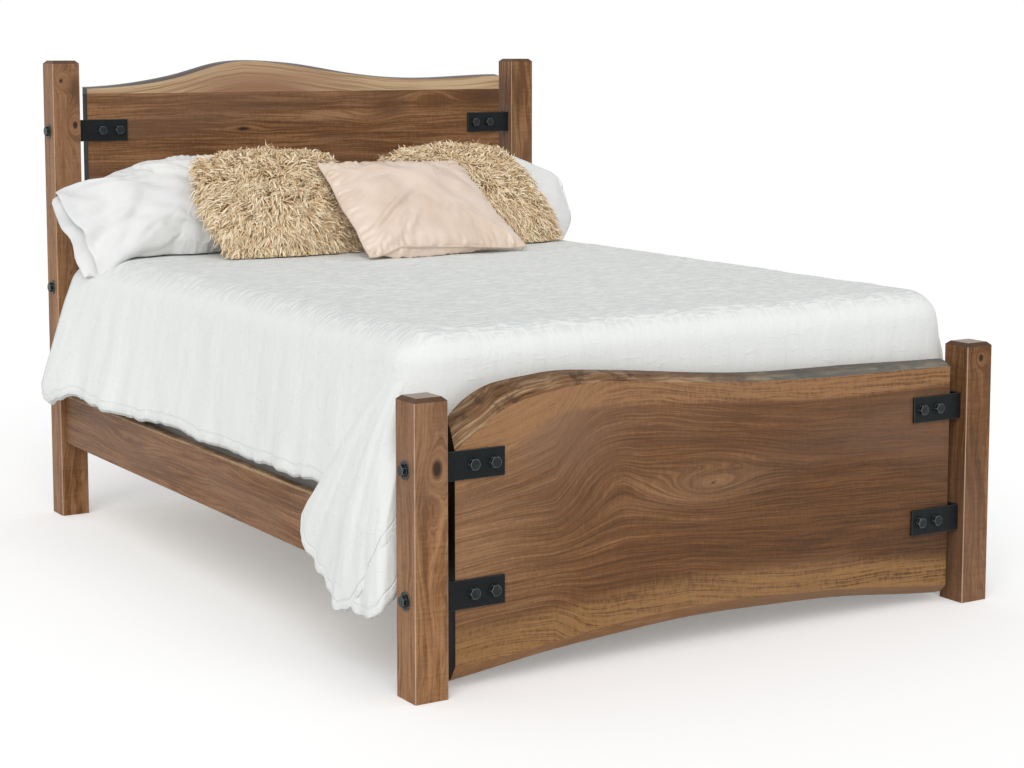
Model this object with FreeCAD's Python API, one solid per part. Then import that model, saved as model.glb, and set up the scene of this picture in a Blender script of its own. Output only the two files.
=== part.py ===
import FreeCAD, Part
import math
import os

V = FreeCAD.Vector

# Driving sizes, in millimetres. The frame's origin is on the floor under the middle of the bed,
# +X to the right for someone standing at the foot, +Y towards the head, +Z up.

# bedstead
bed_length = 2235.2
bed_width = 1660.6
post_side = 82.5
foot_post_height = 660.0
head_post_height = 1354.0
post_top_chamfer_height = 9.2
post_top_chamfer_inset = 10.0
post_edge_ease = 2.0

# iron straps: an angle with one leg on the slab and one on the post
strap_setback = 20.6
strap_thickness = 6.35
strap_height = 63.5
strap_reach = 155.0
strap_edge_ease = 0.8
foot_strap_upper_height = 503.0
foot_strap_lower_height = 219.0

# bolts, nuts and washers
bolt_diameter = 15.9
bolt_hole_clearance = 0.3
bolt_head_across_flats = 23.8
bolt_head_height = 9.9
bolt_head_crown = 2.0
slab_bolt_first_offset = 75.0
slab_bolt_spacing = 53.0
nut_across_flats = 23.8
nut_height = 13.5
bolt_end_overrun = 1.5
washer_diameter = 42.0
washer_thickness = 2.5

# slabs of wood at the foot and the head
slab_thickness = 38.0
slab_end_gap = 32.0
foot_slab_bottom = 17.0
foot_slab_height = 665.0
head_panel_bottom = 545.0
head_board_width = 192.4
head_upper_board_width = 133.0
live_edge_height = 98.0

# side rails and what carries the slats
rail_thickness = 25.4
rail_height = 147.5
rail_bottom_height = 219.5
rail_inset = 15.0
rail_edge_ease = 3.0
ledger_thickness = 25.4
ledger_height = 31.0
ledger_end_gap = 40.0
slat_count = 10
slat_width = 89.0
slat_thickness = 19.0
slat_end_clearance = 3.0
beam_thickness = 38.0
beam_height = 89.0
beam_end_gap = 60.0
leg_side = 38.0
leveller_disc_diameter = 32.0
leveller_disc_height = 8.0
leveller_stud_diameter = 8.0
leveller_stud_show = 12.0
leveller_stud_sunk = 20.0

# hooked bed fasteners between the rails and the posts
plate_end_margin = 8.0
plate_width = 15.0
plate_thickness = 2.5
hook_thickness = 2.5
hook_height = 26.0
hook_reach = 13.0
hook_lip_drop = 6.0
hook_spacing = 56.0
hook_clearance = 0.3
plate_screw_clearance = 4.0

# wood screws
screw_length = 28.0
screw_diameter = 4.2
screw_head_diameter = 8.4
screw_head_height = 2.4
screw_tip_length = 5.0
ledger_screw_count = 7
ledger_screw_end_offset = 90.0

# foundation and mattress
mattress_side_room = 68.3
mattress_end_room = 101.6
foundation_height = 229.0
foundation_corner_radius = 75.0
foundation_edge_radius = 6.0
mattress_height = 280.0
mattress_corner_radius = 60.0
mattress_edge_radius = 34.0
mattress_head_shift = 5.0
soft_clearance = 0.5

# coverlet
coverlet_thickness = 6.0
coverlet_head_margin = 55.0
coverlet_side_length = 392.0
coverlet_foot_length = 350.0
coverlet_side_spread = 66.0
coverlet_head_flare = 90.0
coverlet_fold_depth = 11.0
coverlet_fold_count = 6
corner_drop_length = 245.0
corner_drop_width = 390.0
corner_drop_middle_width = 335.0
corner_drop_tip_width = 150.0
corner_drop_bulge = 34.0
corner_drop_foot_gap = 6.0

# cushions
white_pillow_lean = 58.0
shaggy_lean = 52.0
satin_lean = 38.0
cushion_press = 18.0
cushion_seam_thickness = 5.0
cushion_rest_gap = 0.4
white_pillow_length = 780.0
white_pillow_height = 400.0
white_pillow_thickness = 140.0
white_pillow_draw_in = 14.0
white_pillow_inner_offset = 84.0
white_pillow_post_gap = 14.0
shaggy_width = 470.0
shaggy_height = 432.0
shaggy_thickness = 126.0
shaggy_draw_in = 18.0
shaggy_left_offset = 262.0
shaggy_right_offset = 418.0
shaggy_right_roll = -4.0
shaggy_row_gap = 2.0
satin_width = 492.0
satin_height = 452.0
satin_thickness = 100.0
satin_draw_in = 22.0
satin_side_offset = 118.0
satin_forward_offset = 192.0

# how far a cutting tool may pass beyond the piece that it cuts, and how far out of line or of level
# an edge may be and still count as straight or as level
overrun = 5.0
straight_tolerance = 0.05
level_tolerance = 0.5

# Live edges, in shares of the slab's length from its left end and of its height from its bottom.
# The back face of a slab is taller than its front face, and the wane runs between them.
foot_top_front_shares = [
    (0.0, 0.778), (0.035, 0.828), (0.075, 0.887), (0.125, 0.925), (0.185, 0.945), (0.25, 0.957),
    (0.34, 0.944), (0.46, 0.919), (0.60, 0.900), (0.78, 0.887), (0.90, 0.886), (1.0, 0.880)]
foot_top_back_shares = [
    (0.0, 0.874), (0.035, 0.940), (0.075, 0.976), (0.125, 0.990), (0.185, 1.0), (0.25, 0.993),
    (0.34, 0.975), (0.46, 0.947), (0.60, 0.925), (0.78, 0.918), (0.90, 0.910), (1.0, 0.905)]
foot_bottom_front_shares = [
    (0.0, 0.066), (0.08, 0.069), (0.18, 0.092), (0.30, 0.116), (0.46, 0.129), (0.62, 0.118),
    (0.78, 0.093), (0.90, 0.066), (1.0, 0.042)]
foot_bottom_back_shares = [
    (0.0, 0.0), (0.08, 0.019), (0.18, 0.043), (0.30, 0.061), (0.46, 0.077), (0.62, 0.069),
    (0.78, 0.052), (0.90, 0.024), (1.0, 0.002)]
head_top_front_shares = [
    (0.0, 0.153), (0.07, 0.20), (0.155, 0.337), (0.22, 0.54), (0.29, 0.83), (0.355, 0.969),
    (0.42, 0.918), (0.50, 0.765), (0.58, 0.59), (0.70, 0.40), (0.82, 0.347), (0.92, 0.40),
    (1.0, 0.439)]
head_top_back_shares = [
    (0.0, 0.204), (0.07, 0.265), (0.155, 0.43), (0.22, 0.63), (0.29, 0.90), (0.36, 1.0),
    (0.42, 0.97), (0.50, 0.86), (0.58, 0.67), (0.70, 0.45), (0.82, 0.40), (0.92, 0.46),
    (1.0, 0.49)]
head_strap_upper_share = 0.187
head_strap_lower_share = 0.728
outer_leg_share = 0.783
corner_drop_slant_share = 0.15
wane_middle_depth_share = 0.5
wane_middle_share = 0.72
crown_size_shares = [1.0, 0.92, 0.78, 0.60, 0.38, 0.15]
crown_rounding_share = 0.42
crown_power = 2.2
head_flare_power = 3
parallel_share = 0.999
hexagon_sides = 6

# Names of the headboard's plain boards below the upper one, and of the bed's two sides
PLAIN_BOARDS = ("bottom", "lower", "middle")
SIDES = {"left": -1, "right": 1}

# Places worked out from the driving sizes
inner_face_x = bed_width / 2 - post_side
foot_front_y = -bed_length / 2
head_front_y = bed_length / 2 - post_side
foot_slab_front_y = foot_front_y + strap_setback + strap_thickness
head_slab_front_y = head_front_y + strap_setback + strap_thickness
slab_half_length = inner_face_x - slab_end_gap
rail_outer_x = bed_width / 2 - rail_inset
rail_inner_x = rail_outer_x - rail_thickness
rail_middle_x = rail_outer_x - rail_thickness / 2
rail_middle_z = rail_bottom_height + rail_height / 2
plate_screw_offset = hook_spacing / 2 + hook_height / 2 + hook_lip_drop + plate_screw_clearance
plate_length = 2 * (plate_screw_offset + plate_end_margin)
beam_reach = head_front_y - beam_end_gap
slat_bottom_z = rail_bottom_height + ledger_height
slat_top_z = slat_bottom_z + slat_thickness
foundation_top_z = slat_top_z + foundation_height
mattress_bottom_z = foundation_top_z + soft_clearance
mattress_top_z = mattress_bottom_z + mattress_height
mattress_width = bed_width - 2 * mattress_side_room
mattress_length = bed_length - 2 * mattress_end_room
mattress_foot_y = mattress_head_shift - mattress_length / 2
mattress_head_y = mattress_head_shift + mattress_length / 2
coverlet_top_z = mattress_top_z + soft_clearance + coverlet_thickness
cushion_floor_z = coverlet_top_z + cushion_rest_gap
upper_board_bottom_z = head_panel_bottom + len(PLAIN_BOARDS) * head_board_width
live_edge_bottom_z = upper_board_bottom_z + head_upper_board_width
head_strap_upper_z = upper_board_bottom_z + head_strap_upper_share * head_upper_board_width
head_strap_lower_z = head_panel_bottom + head_strap_lower_share * head_board_width


def block(x0, x1, y0, y1, z0, z1):
    """A box between two corners."""
    low = V(min(x0, x1), min(y0, y1), min(z0, z1))
    return Part.makeBox(abs(x1 - x0), abs(y1 - y0), abs(z1 - z0), low)


def cylinder(radius, start, direction, length):
    return Part.makeCylinder(radius, length, start, direction)


def edges_along(shape, axis):
    """The straight edges of a shape that run along X, Y or Z."""
    found = []
    for edge in shape.Edges:
        a, b = edge.Vertexes[0].Point, edge.Vertexes[-1].Point
        span = b - a
        if span.Length > 0 and abs(span.normalize().dot(axis)) > parallel_share:
            found.append(edge)
    return found


def mirrored(shape):
    """The same piece for the other side of the bed."""
    return shape.mirror(V(0, 0, 0), V(1, 0, 0))


def on_side(shape, side):
    """Left pieces as drawn, right ones mirrored."""
    return shape if side < 0 else mirrored(shape)


def export(name, *shapes):
    solids = [solid for shape in shapes for solid in shape.Solids]
    whole = solids[0] if len(solids) == 1 else Part.makeCompound(solids)
    for solid in solids:
        if not solid.isValid() or solid.Volume <= 0:
            raise ValueError(name + " holds a bad solid")
    whole.exportStep(os.path.join("parts", name + ".step"))
    print(name, len(solids), "solids", round(whole.Volume))


# Bolts, nuts, washers and screws

def hexagon_prism(across_flats, height, start, direction):
    """A hexagonal prism from a start point along a direction."""
    radius = across_flats / math.sqrt(3)
    turn = FreeCAD.Rotation(V(0, 0, 1), direction)
    points = []
    for i in range(hexagon_sides + 1):
        angle = 2 * math.pi * i / hexagon_sides
        points.append(start + turn.multVec(V(radius * math.cos(angle), radius * math.sin(angle), 0)))
    face = Part.Face(Part.makePolygon(points))
    return face.extrude(direction * height)


def hexagon_head(across_flats, height, crown, start, direction):
    """A hexagonal head whose outer corners are turned to a cone."""
    prism = hexagon_prism(across_flats, height, start, direction)
    corner_radius = across_flats / math.sqrt(3)
    slope = corner_radius - across_flats / 2
    shoulder = start + direction * (height - crown)
    cone = Part.makeCone(corner_radius, across_flats / 2 - slope, 2 * crown, shoulder, direction)
    sleeve = cylinder(corner_radius, start, direction, height - crown)
    return prism.common(sleeve.fuse(cone))


def hex_bolt(seat, direction, grip):
    """A bolt whose head stands on a seat point, against the direction of its shank."""
    head = hexagon_head(bolt_head_across_flats, bolt_head_height, bolt_head_crown, seat, direction * -1)
    shank = cylinder(bolt_diameter / 2, seat, direction, grip + nut_height + bolt_end_overrun)
    return head.fuse(shank).removeSplitter()


def hex_nut(seat, direction):
    nut = hexagon_head(nut_across_flats, nut_height, bolt_head_crown, seat, direction)
    return nut.cut(cylinder(bolt_diameter / 2, seat, direction, nut_height))


def washer(seat, direction):
    disc = cylinder(washer_diameter / 2, seat, direction, washer_thickness)
    return disc.cut(cylinder(bolt_diameter / 2 + bolt_hole_clearance, seat, direction, washer_thickness))


def bolt_hole(start, direction, length):
    """A round hole for a bolt, a little beyond both faces."""
    radius = bolt_diameter / 2 + bolt_hole_clearance
    return cylinder(radius, start - direction * overrun, direction, length + 2 * overrun)


def wood_screw(seat, direction):
    """A countersunk screw with its head flush at the seat."""
    head = Part.makeCone(screw_head_diameter / 2, screw_diameter / 2, screw_head_height, seat, direction)
    shank_length = screw_length - screw_head_height - screw_tip_length
    neck = seat + direction * screw_head_height
    shank = cylinder(screw_diameter / 2, neck, direction, shank_length)
    tip = Part.makeCone(screw_diameter / 2, 0, screw_tip_length, neck + direction * shank_length, direction)
    return head.fuse([shank, tip]).removeSplitter()


# Straps and the bolts that they carry

strap_places = {
    "foot": (foot_front_y, foot_slab_front_y, (foot_strap_upper_height, foot_strap_lower_height)),
    "head": (head_front_y, head_slab_front_y, (head_strap_upper_z, head_strap_lower_z))}
post_bolt_depth = post_side / 2
strap_leg_depth = 2 * (post_bolt_depth - strap_setback)
slab_bolt_offsets = (slab_bolt_first_offset, slab_bolt_first_offset + slab_bolt_spacing)


def strap(front_y, z):
    """One left strap: a leg along the slab's front and a leg back along the post's inner face."""
    x0 = -inner_face_x
    y0 = front_y + strap_setback
    low, high = z - strap_height / 2, z + strap_height / 2
    long_leg = block(x0, x0 + strap_reach, y0, y0 + strap_thickness, low, high)
    short_leg = block(x0, x0 + strap_thickness, y0, y0 + strap_leg_depth, low, high)
    angle = long_leg.fuse(short_leg).removeSplitter()
    angle = angle.makeChamfer(strap_edge_ease, edges_along(angle, V(0, 0, 1)))
    for offset in slab_bolt_offsets:
        angle = angle.cut(bolt_hole(V(x0 + offset, y0, z), V(0, 1, 0), strap_thickness))
    return angle.cut(bolt_hole(V(x0, front_y + post_bolt_depth, z), V(1, 0, 0), strap_thickness))


def slab_bolt_seats(end, side):
    """Where the slab bolts' heads stand on one side of one end."""
    front_y, slab_y, heights = strap_places[end]
    seats = []
    for z in heights:
        for offset in slab_bolt_offsets:
            seats.append(V(side * (inner_face_x - offset), slab_y - strap_thickness, z))
    return seats


def post_bolt_seats(end, side):
    """Where the post bolts come out of the outer face of a post, under their washers."""
    front_y, slab_y, heights = strap_places[end]
    return [V(side * bed_width / 2, front_y + post_bolt_depth, z) for z in heights]


def slab_bolt_set(end, side):
    """Slab bolts, washers and nuts of one side of one end."""
    grip = strap_thickness + slab_thickness + washer_thickness
    bolts, washers, nuts = [], [], []
    for seat in slab_bolt_seats(end, side):
        back = seat + V(0, strap_thickness + slab_thickness, 0)
        bolts.append(hex_bolt(seat, V(0, 1, 0), grip))
        washers.append(washer(back, V(0, 1, 0)))
        nuts.append(hex_nut(back + V(0, washer_thickness, 0), V(0, 1, 0)))
    return bolts, washers, nuts


def post_bolt_set(end, side):
    """Post bolts, washers and nuts of one post."""
    inward = V(-side, 0, 0)
    grip = washer_thickness + post_side + strap_thickness
    bolts, washers, nuts = [], [], []
    for seat in post_bolt_seats(end, side):
        outer = seat - inward * washer_thickness
        bolts.append(hex_bolt(outer, inward, grip))
        washers.append(washer(outer, inward))
        nuts.append(hex_nut(outer + inward * grip, inward))
    return bolts, washers, nuts


# Hooked bed fasteners. end_y is the plane where rail and post meet, and outward points into the post.

def catch_plate(side, end_y, outward):
    """A slotted plate let into the post's face."""
    x = side * rail_middle_x
    plate = block(x - plate_width / 2, x + plate_width / 2, end_y, end_y + outward * plate_thickness,
                  rail_middle_z - plate_length / 2, rail_middle_z + plate_length / 2)
    half_slot = hook_thickness / 2 + hook_clearance
    for place in (-0.5, 0.5):
        z = rail_middle_z + place * hook_spacing
        plate = plate.cut(block(x - half_slot, x + half_slot, end_y - outward * overrun,
                                end_y + outward * (plate_thickness + overrun),
                                z - hook_height / 2 - hook_clearance, z + hook_height / 2 + hook_clearance))
    return plate


def hook_pockets(side, end_y, outward):
    """The recess for the catch plate and the two pockets behind it, cut from the post."""
    x = side * rail_middle_x
    recess = block(x - plate_width / 2, x + plate_width / 2, end_y - outward * overrun,
                   end_y + outward * plate_thickness,
                   rail_middle_z - plate_length / 2, rail_middle_z + plate_length / 2)
    half = hook_thickness / 2 + hook_clearance
    pockets = []
    for place in (-0.5, 0.5):
        z = rail_middle_z + place * hook_spacing
        pockets.append(block(x - half, x + half, end_y, end_y + outward * (hook_reach + hook_clearance),
                             z - hook_height / 2 - hook_lip_drop - hook_clearance,
                             z + hook_height / 2 + hook_clearance))
    return recess.fuse(pockets)


def hook_plate(side, end_y, outward):
    """The plate let into the rail's end, with two hooks that drop behind the catch plate."""
    x = side * rail_middle_x
    plate = block(x - plate_width / 2, x + plate_width / 2, end_y - outward * plate_thickness, end_y,
                  rail_middle_z - plate_length / 2, rail_middle_z + plate_length / 2)
    hooks = []
    for place in (-0.5, 0.5):
        z = rail_middle_z + place * hook_spacing
        low, high = z - hook_height / 2, z + hook_height / 2
        hook = block(x - hook_thickness / 2, x + hook_thickness / 2, end_y, end_y + outward * hook_reach,
                     low, high)
        lip = block(x - hook_thickness / 2, x + hook_thickness / 2,
                    end_y + outward * (plate_thickness + hook_clearance), end_y + outward * hook_reach,
                    low - hook_lip_drop, low)
        hooks += [hook, lip]
    return plate.fuse(hooks).removeSplitter()


def hook_recess(side, end_y, outward):
    """What the hook plate takes out of the rail's end."""
    x = side * rail_middle_x
    return block(x - plate_width / 2, x + plate_width / 2, end_y - outward * plate_thickness,
                 end_y + outward * overrun,
                 rail_middle_z - plate_length / 2, rail_middle_z + plate_length / 2)


def plate_screws(side, end_y, outward):
    """Two screws into the post through the catch plate, and two into the rail through the hook plate."""
    x = side * rail_middle_x
    into_post, into_rail = [], []
    for place in (-plate_screw_offset, plate_screw_offset):
        seat = V(x, end_y, rail_middle_z + place)
        into_post.append(wood_screw(seat, V(0, outward, 0)))
        into_rail.append(wood_screw(seat, V(0, -outward, 0)))
    return into_post, into_rail


# Wooden parts

def level_square(x0, x1, y0, y1, z):
    """A closed square line in a level plane."""
    return Part.makePolygon([V(x0, y0, z), V(x1, y0, z), V(x1, y1, z), V(x0, y1, z), V(x0, y0, z)])


def post(side, front_y, height, end, rail_end_y, outward):
    """A square post with a chamfered top, bored for its bolts and pocketed for the rail's hooks."""
    low_x = min(side * inner_face_x, side * bed_width / 2)
    high_x = low_x + post_side
    y1 = front_y + post_side
    body_top = height - post_top_chamfer_height
    shaft = block(low_x, high_x, front_y, y1, 0, body_top)
    shaft = shaft.makeChamfer(post_edge_ease, edges_along(shaft, V(0, 0, 1)))
    inset = post_top_chamfer_inset
    base = level_square(low_x, high_x, front_y, y1, body_top)
    crown = level_square(low_x + inset, high_x - inset, front_y + inset, y1 - inset, height)
    cap = Part.makeLoft([base, crown], True, True)
    eased = block(low_x, high_x, front_y, y1, body_top, height)
    cap = cap.common(eased.makeChamfer(post_edge_ease, edges_along(eased, V(0, 0, 1))))
    whole = shaft.fuse(cap).removeSplitter()
    for seat in post_bolt_seats(end, side):
        whole = whole.cut(bolt_hole(seat, V(-side, 0, 0), post_side))
    whole = whole.cut(hook_pockets(side, rail_end_y, outward))
    return whole.cut(plate_screws(side, rail_end_y, outward)[0])


def wavy_edge(shares, y, bottom, height):
    """A smooth edge through share points, from the slab's left end to its right."""
    points = []
    for across, up in shares:
        points.append(V(slab_half_length * (2 * across - 1), y, bottom + up * height))
    curve = Part.BSplineCurve()
    curve.interpolate(points)
    return curve.toShape()


def closed_outline(top, bottom):
    """A wire from a top edge and a bottom edge, with straight ends."""
    left = Part.makeLine(bottom.Vertexes[0].Point, top.Vertexes[0].Point)
    right = Part.makeLine(top.Vertexes[-1].Point, bottom.Vertexes[-1].Point)
    return Part.Wire([left, top, right, bottom])


def blended_shares(front, back, part):
    """Share points part of the way from the front edge to the back edge."""
    return [(a[0] + part * (b[0] - a[0]), a[1] + part * (b[1] - a[1])) for a, b in zip(front, back)]


def live_slab(front_y, bottom, height, edges):
    """A slab lofted from its front outline through its middle to its taller back outline."""
    top_front, top_back, bottom_front, bottom_back = edges
    outlines = []
    for depth, part in ((0, 0), (wane_middle_depth_share, wane_middle_share), (1, 1)):
        y = front_y + depth * slab_thickness
        top = wavy_edge(blended_shares(top_front, top_back, part), y, bottom, height)
        low = wavy_edge(blended_shares(bottom_front, bottom_back, part), y, bottom, height)
        outlines.append(closed_outline(top, low))
    return Part.makeLoft(outlines, True, True)


def slab_holes(end):
    """Holes for the slab bolts of both sides of one end."""
    seats = slab_bolt_seats(end, -1) + slab_bolt_seats(end, 1)
    return [bolt_hole(seat, V(0, 1, 0), strap_thickness + slab_thickness) for seat in seats]


def footboard_slab():
    """One wide slab with a live edge above and an arched live edge below."""
    edges = (foot_top_front_shares, foot_top_back_shares, foot_bottom_front_shares, foot_bottom_back_shares)
    slab = live_slab(foot_slab_front_y, foot_slab_bottom, foot_slab_height, edges)
    return slab.cut(slab_holes("foot"))


def headboard_boards():
    """Four straight boards glued edge to edge under a narrow live-edge board."""
    y0, y1 = head_slab_front_y, head_slab_front_y + slab_thickness
    levels = [head_panel_bottom + i * head_board_width for i in range(len(PLAIN_BOARDS) + 1)]
    levels.append(live_edge_bottom_z)
    boards = {}
    for name, low, high in zip(PLAIN_BOARDS + ("upper",), levels, levels[1:]):
        board = block(-slab_half_length, slab_half_length, y0, y1, low, high)
        boards["headboard_" + name + "_board"] = board.cut(slab_holes("head"))
    flat = [(0, 0), (0.5, 0), (1, 0)]
    edges = (head_top_front_shares, head_top_back_shares, flat, flat)
    boards["headboard_live_edge_board"] = live_slab(y0, live_edge_bottom_z, live_edge_height, edges)
    return boards


def side_rail(side):
    """A plank between the posts, its ends recessed for the hook plates."""
    head_end, foot_end = head_front_y, foot_front_y + post_side
    rail = block(side * rail_outer_x, side * rail_inner_x, foot_end, head_end,
                 rail_bottom_height, rail_bottom_height + rail_height)
    rail = rail.makeChamfer(rail_edge_ease, edges_along(rail, V(0, 1, 0)))
    for end_y, outward in ((foot_end, -1), (head_end, 1)):
        rail = rail.cut(hook_recess(side, end_y, outward))
        rail = rail.cut(plate_screws(side, end_y, outward)[1])
    return rail.cut(ledger_screws(side))


def ledger_screws(side):
    """Screws through the ledger into the rail."""
    reach = head_front_y - ledger_end_gap - ledger_screw_end_offset
    step = 2 * reach / (ledger_screw_count - 1)
    seat_x = side * (rail_inner_x - ledger_thickness)
    z = rail_bottom_height + ledger_height / 2
    return [wood_screw(V(seat_x, i * step - reach, z), V(side, 0, 0)) for i in range(ledger_screw_count)]


def ledger(side):
    """A cleat along the rail's inner face that carries the slats."""
    reach = head_front_y - ledger_end_gap
    cleat = block(side * rail_inner_x, side * (rail_inner_x - ledger_thickness), -reach, reach,
                  rail_bottom_height, slat_bottom_z)
    return cleat.cut(ledger_screws(side)).cut(slat_screws(side))


def slat_centres():
    """Even places for the slats along the ledgers."""
    reach = head_front_y - ledger_end_gap - slat_width / 2
    return [-reach + 2 * reach * i / (slat_count - 1) for i in range(slat_count)]


def slat_screws(side):
    """One screw at each slat's end, down into the ledger."""
    x = side * (rail_inner_x - ledger_thickness / 2)
    return [wood_screw(V(x, y, slat_top_z), V(0, 0, -1)) for y in slat_centres()]


def slat(y):
    """A flat slat from ledger to ledger."""
    reach = rail_inner_x - slat_end_clearance
    board = block(-reach, reach, y - slat_width / 2, y + slat_width / 2, slat_bottom_z, slat_top_z)
    screws = [wood_screw(V(side * (rail_inner_x - ledger_thickness / 2), y, slat_top_z), V(0, 0, -1))
              for side in SIDES.values()]
    return board.cut(screws)


def support_beam():
    """A beam on edge under the middle of the slats."""
    half = beam_thickness / 2
    return block(-half, half, -beam_reach, beam_reach, slat_bottom_z - beam_height, slat_bottom_z)


def support_leg(y):
    """A square leg under the beam, bored for its levelling foot."""
    bottom = leveller_disc_height + leveller_stud_show
    half = leg_side / 2
    leg = block(-half, half, y - half, y + half, bottom, slat_bottom_z - beam_height)
    mouth = V(0, y, bottom - overrun)
    return leg.cut(cylinder(leveller_stud_diameter / 2, mouth, V(0, 0, 1), leveller_stud_sunk + overrun))


def leveller(y):
    """A screw-in levelling foot: a disc on a stud."""
    disc = cylinder(leveller_disc_diameter / 2, V(0, y, 0), V(0, 0, 1), leveller_disc_height)
    stud = cylinder(leveller_stud_diameter / 2, V(0, y, leveller_disc_height), V(0, 0, 1),
                    leveller_stud_show + leveller_stud_sunk)
    return disc.fuse(stud).removeSplitter()


# Foundation, mattress and coverlet

def soft_block(length, width, bottom, height, corner_radius, edge_radius):
    """A block with rounded upright corners and rounded top and bottom edges."""
    y0 = mattress_head_shift - length / 2
    body = block(-width / 2, width / 2, y0, y0 + length, bottom, bottom + height)
    body = body.makeFillet(corner_radius, edges_along(body, V(0, 0, 1)))
    rims = []
    for edge in body.Edges:
        low, high = edge.BoundBox.ZMin, edge.BoundBox.ZMax
        if high - low < level_tolerance:
            rims.append(edge)
    return body.makeFillet(edge_radius, rims)


def skirt_line(z_drop, inset):
    """Points of the coverlet's hanging side at one depth below its top, from the left head end round
    the foot to the right head end. Each stretch is an arc: (start, middle, end). The side moves out
    with depth, most at the head end, and its folds deepen with depth."""
    depth_share = z_drop / coverlet_side_length
    half_width = mattress_width / 2 + soft_clearance + coverlet_thickness - inset
    foot_y = mattress_foot_y - soft_clearance - coverlet_thickness + inset
    head_y = mattress_head_y - coverlet_head_margin
    corner = mattress_corner_radius
    run = head_y - foot_y - corner
    places = []
    for i in range(2 * coverlet_fold_count + 1):
        share = i / (2 * coverlet_fold_count)
        fold = coverlet_fold_depth * depth_share * (1 if i % 4 == 1 else -1 if i % 4 == 3 else 0)
        spread = depth_share * (coverlet_side_spread + coverlet_head_flare * share ** head_flare_power)
        places.append((half_width + spread + fold, foot_y + corner + run * share))
    left = [V(-x, y, 0) for x, y in reversed(places)]
    right = [V(x, y, 0) for x, y in places]
    foot_left, foot_right = V(-half_width + corner, foot_y, 0), V(half_width - corner, foot_y, 0)
    bend = corner * (1 - math.sqrt(0.5))
    side_gain = depth_share * coverlet_side_spread / 2
    left_bend = V(-half_width + bend - side_gain, foot_y + bend, 0)
    right_bend = V(half_width - bend + side_gain, foot_y + bend, 0)
    middle = (foot_left + foot_right) / 2
    return left + [left_bend, foot_left, middle, foot_right, right_bend] + right


def arcs_through(points, z):
    """Arcs through points taken in threes, lifted to one height."""
    raised = [p + V(0, 0, z) for p in points]
    edges = []
    for i in range(0, len(raised) - 2, 2):
        a, b, c = raised[i], raised[i + 1], raised[i + 2]
        off_line = (b - a).cross(c - a).Length / (c - a).Length
        edges.append(Part.makeLine(a, c) if off_line < straight_tolerance else Part.Arc(a, b, c).toShape())
    return edges


def skirt_section(z_drop):
    """One level slice of the hanging cloth: a thin band that is open at the head."""
    z = coverlet_top_z - z_drop
    outer = arcs_through(skirt_line(z_drop, 0), z)
    inner = arcs_through(list(reversed(skirt_line(z_drop, coverlet_thickness))), z)
    start, finish = outer[0].Vertexes[0].Point, outer[-1].Vertexes[-1].Point
    back, front = inner[0].Vertexes[0].Point, inner[-1].Vertexes[-1].Point
    return Part.Wire(outer + [Part.makeLine(finish, back)] + inner + [Part.makeLine(front, start)])


def coverlet_skirt():
    """The three hanging sides, from just under the top edge down to the hems."""
    top_drop = mattress_edge_radius
    drops = [top_drop, coverlet_side_length / 2, coverlet_side_length]
    skirt = Part.makeLoft([skirt_section(drop) for drop in drops], True, True)
    foot_hem_z = coverlet_top_z - coverlet_foot_length
    half_width = mattress_width / 2 - mattress_corner_radius
    foot_y = mattress_foot_y
    below = block(-half_width, half_width, foot_y + overrun, foot_y - 2 * coverlet_thickness,
                  foot_hem_z, coverlet_top_z - coverlet_side_length - overrun)
    return skirt.cut(below)


def coverlet_top():
    """The flat top with its rounded edge, hollowed to the mattress."""
    length = mattress_length - coverlet_head_margin + soft_clearance + coverlet_thickness
    half_width = mattress_width / 2 + soft_clearance + coverlet_thickness
    y0 = mattress_foot_y - soft_clearance - coverlet_thickness
    bottom = coverlet_top_z - mattress_edge_radius
    outer = block(-half_width, half_width, y0, y0 + length, bottom, coverlet_top_z)
    corner = mattress_corner_radius
    outer = rounded_top(outer, y0, corner, mattress_edge_radius - soft_clearance)
    inner_half = half_width - coverlet_thickness
    inner = block(-inner_half, inner_half, y0 + coverlet_thickness, y0 + length + overrun,
                  bottom - overrun, coverlet_top_z - coverlet_thickness)
    inner = rounded_top(inner, y0 + coverlet_thickness, corner - coverlet_thickness,
                        mattress_edge_radius - coverlet_thickness)
    return outer.cut(inner)


def rounded_top(body, foot_y, corner_radius, edge_radius):
    """Rounds the two upright corners at the foot and the top edge round three sides."""
    uprights = [edge for edge in edges_along(body, V(0, 0, 1)) if edge.BoundBox.YMax < foot_y + overrun]
    body = body.makeFillet(corner_radius, uprights)
    top_z, head_y = body.BoundBox.ZMax, body.BoundBox.YMax
    rims = [edge for edge in body.Edges
            if edge.BoundBox.ZMin > top_z - overrun and edge.BoundBox.YMin < head_y - overrun]
    return body.makeFillet(edge_radius, rims)


def corner_section(z, width, bulge, stand_off):
    """A thin bowed band in a level plane: the cloth's corner where it hangs below the hem."""
    x = bed_width / 2 + stand_off
    slant = corner_drop_slant_share * (corner_drop_width - width)
    y0 = foot_front_y + post_side + corner_drop_foot_gap + slant
    y1 = y0 + width
    middle = (y0 + y1) / 2
    t = coverlet_thickness
    outer = Part.Arc(V(-x, y0, z), V(-x - bulge, middle, z), V(-x, y1, z)).toShape()
    inner = Part.Arc(V(-x + t, y1, z), V(-x + t - bulge, middle, z), V(-x + t, y0, z)).toShape()
    ends = [Part.makeLine(V(-x, y1, z), V(-x + t, y1, z)), Part.makeLine(V(-x + t, y0, z), V(-x, y0, z))]
    return Part.Wire([outer, ends[0], inner, ends[1]])


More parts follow.
